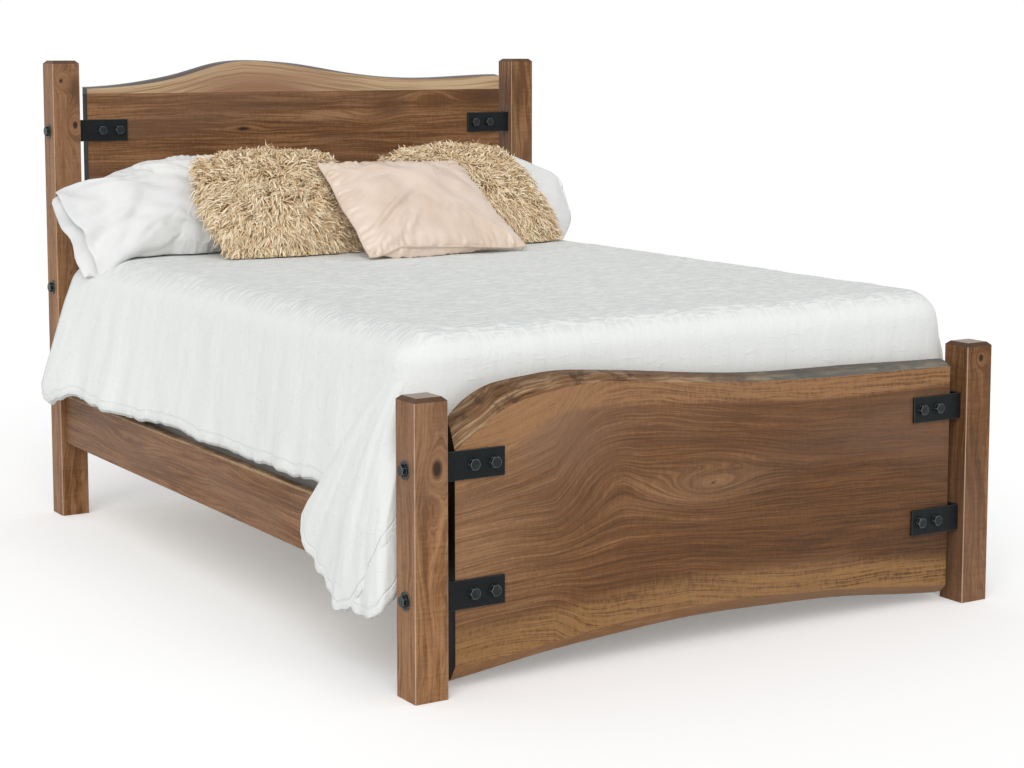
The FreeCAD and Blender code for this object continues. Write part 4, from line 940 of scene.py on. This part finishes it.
def on_slope(points, lean, foot_y, floor):
    """Stands points up. They are given as the place along X, the way up a slope and the height over it. The
    slope leans back by an angle from level and starts at the coverlet, whose height is the floor."""
    a = math.radians(lean)
    y = foot_y + points[..., 1] * math.cos(a) - points[..., 2] * math.sin(a)
    z = floor + points[..., 1] * math.sin(a) + points[..., 2] * math.cos(a)
    return np.stack([points[..., 0], y, z], -1)


def pressed(points, floor):
    """Presses what lies under a floor flat on it, with a soft turn just above."""
    over = points[..., 2] - floor
    soft = 0.004
    lifted = np.where(over > soft, over, np.where(over > -soft, (over + soft) ** 2 / (4 * soft), 0))
    out = points.copy()
    out[..., 2] = floor + lifted
    return out


def square_cushion(corners, thick, draw_in, rounding, cells, pucker, lump, seed):
    """A crowned four-cornered cushion as a front and a back grid that meet at the seam. Both parameters run
    from -1 to 1. They are squeezed near the corners to round them, carried to the four corners
    by bilinear shares, and drawn in at the middle of each side. Half the thickness falls to zero at the
    seam as one less the distance to a power. The seam puckers the cloth and folds run in from the corners."""
    line = [np.sin(np.linspace(-np.pi / 2, np.pi / 2, n)) * 0.5 + np.linspace(-1, 1, n) * 0.5 for n in cells]
    s, t = np.meshgrid(*line, indexing="ij")
    rs = s * np.sqrt(1 - rounding * t ** 2 / 2)
    rt = t * np.sqrt(1 - rounding * s ** 2 / 2)
    (x0, y0), (x1, y1), (x2, y2), (x3, y3) = corners
    low_x, high_x = x0 + (x1 - x0) * (rs + 1) / 2, x3 + (x2 - x3) * (rs + 1) / 2
    low_y, high_y = y0 + (y1 - y0) * (rs + 1) / 2, y3 + (y2 - y3) * (rs + 1) / 2
    x = low_x + (high_x - low_x) * (rt + 1) / 2 - rs * draw_in * (1 - t ** 2)
    y = low_y + (high_y - low_y) * (rt + 1) / 2 - rt * draw_in * (1 - s ** 2)
    square = np.maximum(np.abs(s), np.abs(t))
    far = (np.abs(s) ** 4 + np.abs(t) ** 4) ** 0.25
    far = np.minimum(far, 1) * 0.4 + square * 0.6
    rise = thick / 2 * np.clip(1 - far ** 2.2, 0, 1) ** 0.75
    gap = (1 - square) * 0.22
    around = np.where(np.abs(s) > np.abs(t), y, x)
    corner = smooth(np.minimum(np.abs(s), np.abs(t)), 0.35, 0.95) * smooth(gap, 0, 0.02)
    turn = np.arctan2(np.abs(t) - 0.25, np.abs(s) - 0.25)
    sheets = []
    for way in (1, -1):
        ripple = waves(around, gap, 0.040, 0.30, seed + way + 1) * pucker
        ripple = ripple * np.exp(-gap / 0.030) * smooth(gap, 0, 0.006)
        lumps = waves(x, y, 0.26, 0.20, seed + way + 5) * lump * smooth(gap, 0.0, 0.08)
        crease = waves(turn * 0.3, gap, 0.11, 1.2, seed + way + 9) * lump * 1.1 * corner
        sheets.append(np.stack([x, y, way * rise + (ripple + lumps + crease) * smooth(gap, 0, 0.006)], -1))
    return sheets[0], sheets[1][::-1]


def settled(piece, frames, reach):
    """Lets the cloth of a closed piece swell and crease by a cloth simulation, and keeps each point within
    a reach of where it was."""
    mesh = piece.data
    count = len(mesh.vertices)
    before = np.zeros(count * 3)
    mesh.vertices.foreach_get("co", before)
    cloth = piece.modifiers.new("cloth", "CLOTH")
    settings = {"quality": 4, "mass": 0.25, "tension_stiffness": 40, "compression_stiffness": 40,
                "shear_stiffness": 15, "bending_stiffness": 0.4, "shrink_min": -0.05, "use_pressure": True,
                "uniform_pressure_force": 3.0}
    for key, value in settings.items():
        setattr(cloth.settings, key, value)
    cloth.settings.effector_weights.gravity = 0
    cloth.collision_settings.use_collision = False
    cloth.point_cache.frame_start = 1
    cloth.point_cache.frame_end = frames
    scene = bpy.context.scene
    for step in range(1, frames + 1):
        scene.frame_set(step)
    shape = piece.evaluated_get(bpy.context.evaluated_depsgraph_get())
    after = np.zeros(count * 3)
    shape.data.vertices.foreach_get("co", after)
    piece.modifiers.remove(cloth)
    scene.frame_set(1)
    move = (after - before).reshape(-1, 3)
    far = np.linalg.norm(move, axis=1, keepdims=True)
    move = move * np.minimum(1, reach / np.maximum(far, 1e-9))
    mesh.vertices.foreach_set("co", (before.reshape(-1, 3) + move).ravel())
    mesh.update()


class MakePillows(bpy.types.Operator):
    """The two white sleeping pillows that lean on the headboard, each in a case that is open at its left."""
    bl_idname = "bed.make_pillows"
    bl_label = "Make the white pillows"

    # The slope that a pillow lies on, where it starts, the outline's middle, and the outline from its right
    # end over the top, measured across and up the slope.
    lean = 58.0
    foot_y = 0.817
    middle = (0.0, 0.165)
    outline = [(0.40, 0.160), (0.396, 0.205), (0.325, 0.258), (0.21, 0.304), (0.065, 0.335), (-0.042, 0.326),
               (-0.153, 0.302), (-0.257, 0.256), (-0.330, 0.242), (-0.395, 0.230), (-0.403, 0.195),
               (-0.352, 0.110), (-0.330, 0.040), (-0.293, -0.044), (-0.235, -0.018), (-0.10, 0.0),
               (0.07, 0.002), (0.20, 0.0), (0.33, 0.004), (0.395, 0.060)]

    def execute(self, context):
        cloth = woven_cloth("cotton_percale", "pillowcase", "pillowcase_shade", sheen=0.15, relief=0.005,
                            crease=1.0)
        low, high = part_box("pillow_white_left")
        for middle_x, name in (((low.x + high.x) / 2, "left"), (-(low.x + high.x) / 2, "right")):
            grid = self.case(61 if name == "left" else 67)
            grid[..., 0] += middle_x
            points, faces = joined([pressed(on_slope(grid, self.lean, self.foot_y, low.z), low.z)])
            over = self.over_the_side(points, low.z)
            piece = make_piece("white_pillow_" + name + "_case", over, faces, cloth, "white_pillow_" + name,
                               "white_pillowcase", ["pillow_white_" + name], weld=0.0004)
            settled(piece, 8, 0.006)
        return {"FINISHED"}

    def over_the_side(self, points, floor):
        """Lets what hangs past the mattress's side follow the coverlet's rounded rim."""
        past = np.clip(np.abs(points[:, 0]) - 0.700, 0, 0.2)
        low = np.exp(-np.clip(points[:, 2] - floor, 0, 1) / 0.045)
        out = points.copy()
        out[:, 2] -= np.minimum(past ** 2 * 7.5, 0.05) * low
        return out

    def case(self, seed):
        """The case as one closed grid. Its rows go from the front's middle out to the edge, in at the open
        end and out again, and back to the middle behind. The edge is a smooth closed line through the
        outline's points. The stuffing's half thickness falls to zero at the edge and towards
        the open end, where the two layers stand apart and the back one reaches further. Folds run in from
        that end, the closed seam puckers, and lumps shape the rest."""
        turn = np.linspace(0, 2 * np.pi, 193)
        place = np.array(self.outline) - np.array(self.middle)
        angle = np.unwrap(np.arctan2(place[:, 1], place[:, 0]))
        angle = np.concatenate([angle - 2 * np.pi, angle, angle + 2 * np.pi])
        reach = np.tile(np.hypot(place[:, 0], place[:, 1]), 3)
        fine = np.interp(turn[:, None] + np.linspace(-0.07, 0.07, 9), angle, reach).mean(1)
        fine[-1] = fine[0]
        edge = np.stack([np.cos(turn) * fine, np.sin(turn) * fine], -1)
        opening = (smooth(turn, math.radians(150), math.radians(160))
                   * (1 - smooth(turn, math.radians(212), math.radians(222))))
        near = smooth(-edge[:, 0], 0.16, 0.34) * smooth(turn, 2.2, 2.8) * (1 - smooth(turn, 3.75, 4.1))
        share = np.sin(np.linspace(0, np.pi / 2, 38))[:, None]
        x, y = edge[:, 0] * share, edge[:, 1] * share
        empty = smooth(-x, 0.20, 0.36)
        # the seam and the lumps end before the last three rows, and the folds reach the last two at the mouth
        held, free = share <= 0.995, np.where(share < 0.999, 1, opening)
        layers = []
        for way in (1, -1):
            puff = (0.070 * (1 - share ** 2.5) ** 0.72 * (1 - 0.75 * empty)
                    * (1.12 - 0.5 * y / 0.17 * (way > 0)))
            apart = 0.016 * opening * smooth(share, 0.6, 1.0) * (1 + 0.5 * np.sin(turn * 9 + seed * way))
            folds = waves(turn * 0.25, share, 0.085, 0.9, seed + way) * 0.010 * near * smooth(share, 0.35, 0.8)
            seam = (waves(turn * 0.38, share, 0.055, 0.5, seed + way + 3) * 0.0035
                    * np.exp(-(1 - share) / 0.10) * (1 - opening))
            lump = waves(x, y, 0.24, 0.16, seed + way + 6) * 0.0055 * (1 - share ** 4)
            back = 0.012 * (way < 0) * opening * smooth(share, 0.6, 1.0)
            height = way * (puff + apart) + folds * free + (seam + lump) * held
            layers.append(np.stack([x - back, y - 1.6 * back, height], -1))
        front, behind = layers
        lips = []
        for shrink, mix in ((0.99, 0.05), (0.95, 0.16), (0.88, 0.36), (0.80, 0.5), (0.88, 0.64), (0.95, 0.84),
                            (0.99, 0.95)):
            rim = (front if mix <= 0.5 else behind)[-1]
            inside = (front[-1] * (1 - mix) + behind[-1] * mix) * np.array([shrink, shrink, 1])
            lips.append(rim + (inside - rim) * opening[:, None])
        whole = np.concatenate([front, np.array(lips), behind[::-1]])
        whole[:, -1] = whole[:, 0]
        return whole + np.array([*self.middle, 0])


class MakeShaggy(bpy.types.Operator):
    """The two shaggy cushions: a soft ground thick with curled ribbon tufts."""
    bl_idname = "bed.make_shaggy"
    bl_label = "Make the shaggy cushions"

    # The slope that they lie on, where it starts, and their corners, measured across and up the slope.
    lean = 52.0
    foot_y = 0.625
    corners = {
        "left": [(-0.455, 0.010), (-0.037, 0.008), (-0.022, 0.364), (-0.484, 0.354)],
        "right": [(0.235, 0.010), (0.688, 0.008), (0.598, 0.366), (0.142, 0.350)]}
    # How much a ribbon leans at random, with its neighbours, away from the cushion's middle and down, how
    # far its tip drops, and how high it curls. Each share of its length has a share of its width and a tone,
    # which runs from painted shade at the root to a painted highlight at the tip.
    scatter, together, outwards, downwards = 0.30, 0.5, 0.95, 0.45
    drop, curl_height = 0.35, 0.005
    ribbon_rows = [(0.0, 0.45, 0.35), (0.2, 0.9, 0.62), (0.42, 1.0, 0.82), (0.64, 0.9, 0.95),
                   (0.84, 0.65, 1.0), (1.0, 0.15, 1.05)]
    # the ground between the tufts takes the darkest tone: painted shade
    ground_shade = 0.1

    def execute(self, context):
        cloth = self.ribbon()
        for number, (name, corners) in enumerate(self.corners.items()):
            node = "cushion_shaggy_" + name
            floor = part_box(node)[0].z
            sheets = square_cushion(corners, thick=0.112, draw_in=-0.014, rounding=0.34, cells=(56, 52),
                                    pucker=0.001, lump=0.004, seed=80 + number)
            points, faces = joined([pressed(on_slope(sheet, self.lean, self.foot_y, floor), floor)
                                    for sheet in sheets])
            tufts, tuft_faces, tone = self.tufts(points, faces, floor, 90 + number)
            all_points = np.concatenate([points, tufts])
            all_faces = np.concatenate([faces, tuft_faces + len(points)])
            piece = make_piece("shaggy_cushion_" + name + "_pile", all_points, all_faces, cloth,
                               "shaggy_cushion_" + name, "tan_shag", [node])
            tone = np.concatenate([np.full(len(points), self.ground_shade), tone])
            tones = piece.data.attributes.new("tone", "FLOAT", "POINT")
            tones.data.foreach_set("value", tone.astype(np.float32))
        return {"FINISHED"}

    def tufts(self, points, faces, floor, seed):
        """Ribbons rooted at random places on the ground. A ribbon's spine leaves its root along the normal
        tipped to one side, and bends over with the square of its length. Its half width swells and tapers
        to the tip, and its tone rises from painted shade at the root to a painted highlight at the tip.
        Neighbours lean alike, in clumps. Five quads make one ribbon."""
        rng = np.random.default_rng(seed)
        corners = points[faces]
        cross = np.cross(corners[:, 2] - corners[:, 0], corners[:, 3] - corners[:, 1])
        area = np.linalg.norm(cross, axis=1)
        normal = cross / np.maximum(area[:, None], 1e-12)
        middle = corners.mean(1)
        flip = np.sign(((middle - points.mean(0)) * normal).sum(1))
        normal = normal * np.where(flip == 0, 1, flip)[:, None]
        # hardly any ribbons grow where the cushion lies on the bed, and half as many behind as in front
        chance = area * np.where(middle[:, 2] < floor + 0.003, 0.05, 1)
        chance = chance * np.where(normal[:, 1] > 0.35, 0.45, 1.0)
        count = sizes().ribbon_count
        pick = rng.choice(len(faces), count, p=chance / chance.sum())
        a, b = rng.random((2, count, 1))
        quad = corners[pick]
        root = (quad[:, 0] * (1 - a) + quad[:, 1] * a) * (1 - b) + (quad[:, 3] * (1 - a) + quad[:, 2] * a) * b
        up = normal[pick]
        clump = np.stack([waves(root[:, 0], root[:, 2] + root[:, 1], 0.09, 0.09, seed + k)
                          for k in range(3)], -1)
        outward = root - points.mean(0)
        outward /= np.linalg.norm(outward, axis=1, keepdims=True)
        side = (rng.normal(0, 1, (count, 3)) * self.scatter + clump * self.together
                + outward * self.outwards - UP * self.downwards)
        side -= (side * up).sum(1, keepdims=True) * up
        side /= np.maximum(np.linalg.norm(side, axis=1, keepdims=True), 1e-9)
        reach = sizes().ribbon_length * rng.uniform(0.55, 1.15, (count, 1))
        rise = rng.uniform(0.35, 0.85, (count, 1))
        start = up * rise + side * (1 - rise * 0.6)
        start /= np.linalg.norm(start, axis=1, keepdims=True)
        wide = np.cross(start, rng.normal(0, 1, (count, 3)))
        wide /= np.linalg.norm(wide, axis=1, keepdims=True)
        bend = side * 0.35 - up * rng.uniform(0.45, 0.95, (count, 1))
        bend = bend + wide * rng.uniform(-0.7, 0.7, (count, 1))
        bend[:, 2] -= self.drop
        curl = np.cross(start, wide)
        half = sizes().ribbon_width / 2 * rng.uniform(0.6, 1.2, (count, 1))
        rows = []
        for share, taper, _ in self.ribbon_rows:
            spine = root + reach * (start * share + bend * share ** 2.2 * 0.6)
            spine = spine + curl * (self.curl_height * math.sin(8 * share))
            rows += [spine - wide * half * taper, spine + wide * half * taper]
        tufts = np.stack(rows, 1)
        # what would come out under the coverlet lies just on it
        low = floor + 0.0008
        tufts[:, :, 2] = np.where(tufts[:, :, 2] < low, low + (low - tufts[:, :, 2]) * 0.08, tufts[:, :, 2])
        corners_each = len(rows)
        first = np.arange(count)[:, None] * corners_each
        quads = np.concatenate([first + np.array([[k, k + 1, k + 3, k + 2]])
                                for k in range(0, corners_each - 2, 2)], 0)
        # each ribbon's tone runs from painted shade at its root to a painted highlight at its tip, times a
        # random share
        tone = np.repeat(rng.uniform(0.45, 1.0, count), corners_each)
        tone = tone * np.tile(np.repeat([row[2] for row in self.ribbon_rows], 2), count)
        return tufts.reshape(-1, 3), quads, tone

    def ribbon(self):
        """Acrylic ribbon pile: glossy sandy strands, with a painted highlight at their tips and painted shade
        between their roots.
        """
        made, tree, where = material("acrylic_ribbon_pile", Roughness=0.4, Specular_IOR_Level=0.5)
        tone = add(tree, "Attribute", (), "Fac", attribute_name="tone")
        patch = add(tree, "TexNoise", {"Vector": where, "Scale": 30.0, "Detail": 2.0})
        mix = add(tree, "Math MULTIPLY_ADD", (patch, 0.3, tone))
        return finished(made, add(tree, "ValToRGB", (mix,), stops=[
            (0.2, tint("shag_shade")), (0.55, tint("shag")), (0.95, tint("shag_tip_highlight"))]))


class MakeSatin(bpy.types.Operator):
    """The blush satin cushion in front, with a corded seam."""
    bl_idname = "bed.make_satin"
    bl_label = "Make the satin cushion"

    # The slope that it lies on, where it starts, and its corners, measured across and up the slope.
    lean = 38.0
    foot_y = 0.396
    corners = [(-0.124, 0.006), (0.417, 0.012), (0.354, 0.418), (-0.131, 0.428)]
    # Each crease is where it starts and ends on the slope, its half width and its height.
    creases = [
        ((-0.080, 0.100), (0.108, 0.238), 0.010, 0.0120), ((-0.112, 0.368), (0.010, 0.414), 0.011, 0.0060),
        ((-0.119, 0.318), (0.045, 0.370), 0.012, 0.0060), ((-0.100, 0.240), (-0.02, 0.290), 0.011, 0.0050),
        ((0.028, 0.060), (0.083, 0.145), 0.011, 0.0042), ((-0.06, 0.035), (0.02, 0.075), 0.011, 0.0050),
        ((0.10, 0.165), (0.337, 0.115), 0.030, 0.0060), ((0.30, 0.36), (0.345, 0.22), 0.016, 0.0035)]
    # How far the lower seam is lifted, and the way up the slope over which the back's belly comes out.
    seam_lift = 0.024
    belly = 0.016

    def execute(self, context):
        made = self.satin()
        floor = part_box("cushion_satin")[0].z
        front, back = square_cushion(self.corners, thick=0.128, draw_in=0.010, rounding=0.13, cells=(100, 94),
                                     pucker=0.0040, lump=0.0040, seed=101)
        front[..., 2] += self.creased(front)
        front, back = self.slumped(front, 0), self.slumped(back, 1)
        points, faces = joined([pressed(on_slope(sheet, self.lean, self.foot_y, floor), floor)
                                for sheet in (front, back)])
        piece = make_piece("satin_cushion_cover", points, faces, made, "satin_cushion", "blush_satin",
                           ["cushion_satin"], weld=0.0005)
        settled(piece, 8, 0.006)
        rim = np.concatenate([front[0, :], front[1:, -1], front[-1, -2::-1], front[-2::-1, 0]])
        rim = pressed(on_slope(rim, self.lean, self.foot_y, floor), floor + sizes().piping_radius)
        cord = make_piece("satin_cushion_piping", *self.piping(rim), made, "satin_cushion", "blush_satin")
        return {"FINISHED"}

    def creased(self, sheet):
        """Long folds of the front. Across a fold the cloth is a bell's ridge with a shallower hollow beside
        it, and along it the ridge rises from nothing and falls to nothing again."""
        total = np.zeros(sheet.shape[:2])
        for start, end, half, height in self.creases:
            start, run = np.array(start), np.array(end) - np.array(start)
            span = math.hypot(*run)
            run = run / span
            place = sheet[..., :2] - start
            along = (place @ run) / span
            across = (place @ np.array([-run[1], run[0]])) / half
            shape = np.exp(-across ** 2) - 0.6 * np.exp(-(across + 1.7) ** 2)
            total += height * shape * smooth(along, -0.15, 0.3) * (1 - smooth(along, 0.6, 1.15))
        # nothing at the seam, and half in the rows next to it
        for rows, share in (([0, -1], 0), ([1, -2], 0.5)):
            total[rows] *= share
            total[:, rows] *= share
        return total

    def slumped(self, sheet, is_back):
        """Lifts the lower seam off the coverlet, most near its left end, and lets the back's cloth hang
        from it in a belly that comes forward and rests on the coverlet. Both moves fade up the slope."""
        x, up = sheet[..., 0], sheet[..., 1]
        left, right = self.corners[0][0], self.corners[1][0]
        share = (x - left) / (right - left)
        above = np.clip(up - up[:, :1], 0, 1)
        lift = self.seam_lift * smooth(share, 0.04, 0.22) * np.clip(1 - (share - 0.22) / 0.66, 0, 1)
        rise = lift * np.exp(-above / 0.07)
        hang = 1.15 * lift * smooth(above, 0.0, self.belly) * (1 - smooth(above, 0.06, 0.16))
        rise = rise - is_back * hang
        ahead = is_back * 0.55 * lift * smooth(above, 0.0, self.belly) * (1 - smooth(above, 0.03, 0.10))
        sway = waves(up, x, 0.20, 0.6, 7) * 0.0030
        sin, cos = math.sin(math.radians(self.lean)), math.cos(math.radians(self.lean))
        return sheet + np.stack([sway, rise * sin - ahead * cos, rise * cos + ahead * sin], -1)

    def piping(self, rim):
        """A round cord along the seam: a circle carried round the closed line in planes across it."""
        line = rim[:-1]
        ahead = np.roll(line, -1, 0) - np.roll(line, 1, 0)
        ahead /= np.maximum(np.linalg.norm(ahead, axis=1, keepdims=True), 1e-9)
        a = math.radians(self.lean)
        up = np.array([0, -math.sin(a), math.cos(a)])
        side = np.cross(ahead, up)
        side /= np.linalg.norm(side, axis=1, keepdims=True)
        turn = np.linspace(0, 2 * np.pi, 9)
        ring = line[:, None] + sizes().piping_radius * (np.cos(turn)[None, :, None] * side[:, None]
                                                       + np.sin(turn)[None, :, None] * up)
        ring = np.concatenate([ring, ring[:1]])
        return joined([ring])

    def satin(self):
        """Polyester satin: a smooth blush sheen that shows soft creases, over a faint weave."""
        made, tree, where = material("polyester_satin", Roughness=0.34, Sheen_Weight=0.3, Sheen_Roughness=0.3,
                                     Specular_IOR_Level=0.6)
        soft = add(tree, "TexNoise", {"Vector": where, "Scale": 11.0, "Detail": 3.0, "Distortion": 0.6})
        weave = add(tree, "TexNoise", {"Vector": where, "Scale": 1100.0, "Detail": 1.0})
        cloth = coat(tree, tint("satin"), "satin_shade", soft, (0.35, 0.75))
        return finished(made, cloth, add(tree, "Math MULTIPLY_ADD", (weave, 0.06, soft)), 0.6, 0.006)


class MakeStage(bpy.types.Operator):
    """Pale floor, soft light and the camera."""
    bl_idname = "bed.make_stage"
    bl_label = "Make the stage"

    def execute(self, context):
        scene = context.scene
        mesh = bpy.data.meshes.new("floor")
        reach = 30.0
        mesh.from_pydata([(-reach, -reach, 0), (reach, -reach, 0), (reach, reach, 0), (-reach, reach, 0)], [],
                         [(0, 1, 2, 3)])
        made, tree, _ = material("matt_white_floor", Roughness=1.0, Specular_IOR_Level=0.0,
                                 Base_Color=tint("floor"), Emission_Color=(1, 1, 1, 1))
        glow = add(tree, "MapRange", (self.seen_straight(tree), 0, 1, 0, 0.20))
        tree.links.new(glow, tree.nodes["Principled BSDF"].inputs["Emission Strength"])
        mesh.materials.append(made)
        floor = bpy.data.objects.new("floor", mesh)
        floor.location.z = -0.0005
        scene.collection.objects.link(floor)
        sun = bpy.data.lights.new("window", "SUN")
        sun.energy = 1.64
        sun.angle = math.radians(50)
        lamp = bpy.data.objects.new("window", sun)
        lamp.rotation_euler = Vector((0.60, 0.84, -0.70)).to_track_quat("-Z", "Y").to_euler()
        scene.collection.objects.link(lamp)
        world = bpy.data.worlds.new("studio")
        scene.world = world
        world.use_nodes = True
        tree = world.node_tree
        strength = add(tree, "MapRange", (self.seen_straight(tree), 0, 1, 0.6, 1.0))
        backdrop = tree.nodes["Background"]
        backdrop.inputs["Color"].default_value = (1, 1, 1, 1)
        tree.links.new(strength, backdrop.inputs["Strength"])
        scene.view_settings.view_transform = "Standard"
        data = bpy.data.cameras.new("camera")
        data.lens = 74.38
        data.sensor_width = 36.0
        data.shift_y = -0.10
        camera = bpy.data.objects.new("camera", data)
        camera.location = (-2.9686, -4.9459, 1.3994)
        camera.rotation_euler = (math.radians(90 - 6.381), 0, math.radians(-31.872))
        scene.collection.objects.link(camera)
        scene.camera = camera
        return {"FINISHED"}

    def seen_straight(self, tree):
        """One for the camera's own rays and for what shows in metal or glass, else zero."""
        camera, glossy, through = [add(tree, "LightPath", out="Is " + kind + " Ray")
                                   for kind in ("Camera", "Glossy", "Transmission")]
        either = add(tree, "Math MAXIMUM", (camera, glossy))
        return add(tree, "Math MAXIMUM", (either, through))


class BedPanel(bpy.types.Panel):
    """Sizes, colours and the pieces of the bed."""
    bl_idname = "VIEW3D_PT_bed"
    bl_label = "Bed"
    bl_space_type = "VIEW_3D"
    bl_region_type = "UI"
    bl_category = "Bed"

    def draw(self, context):
        for group in (context.scene.bed_sizes, context.scene.bed_colours):
            for name in group.bl_rna.properties.keys():
                if name not in ("rna_type", "name"):
                    self.layout.prop(group, name)
        for operator in OPERATORS:
            self.layout.operator(operator.bl_idname)


OPERATORS = (FinishWood, FinishIron, MakeFoundation, MakeMattress, MakeCoverlet, MakePillows, MakeShaggy,
             MakeSatin, MakeStage)
CLASSES = (BedColours, BedSizes, BedPanel) + OPERATORS


def register():
    """Registers the classes and hangs the colours and sizes on the scene."""
    for cls in CLASSES:
        bpy.utils.register_class(cls)
    bpy.types.Scene.bed_colours = bpy.props.PointerProperty(type=BedColours)
    bpy.types.Scene.bed_sizes = bpy.props.PointerProperty(type=BedSizes)


def unregister():
    """Takes back what register did."""
    del bpy.types.Scene.bed_sizes
    del bpy.types.Scene.bed_colours
    for cls in reversed(CLASSES):
        bpy.utils.unregister_class(cls)


def main():
    """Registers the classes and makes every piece."""
    register()
    for operator in OPERATORS:
        group, name = operator.bl_idname.split(".")
        getattr(getattr(bpy.ops, group), name)()


if __name__ == "__main__":
    main()
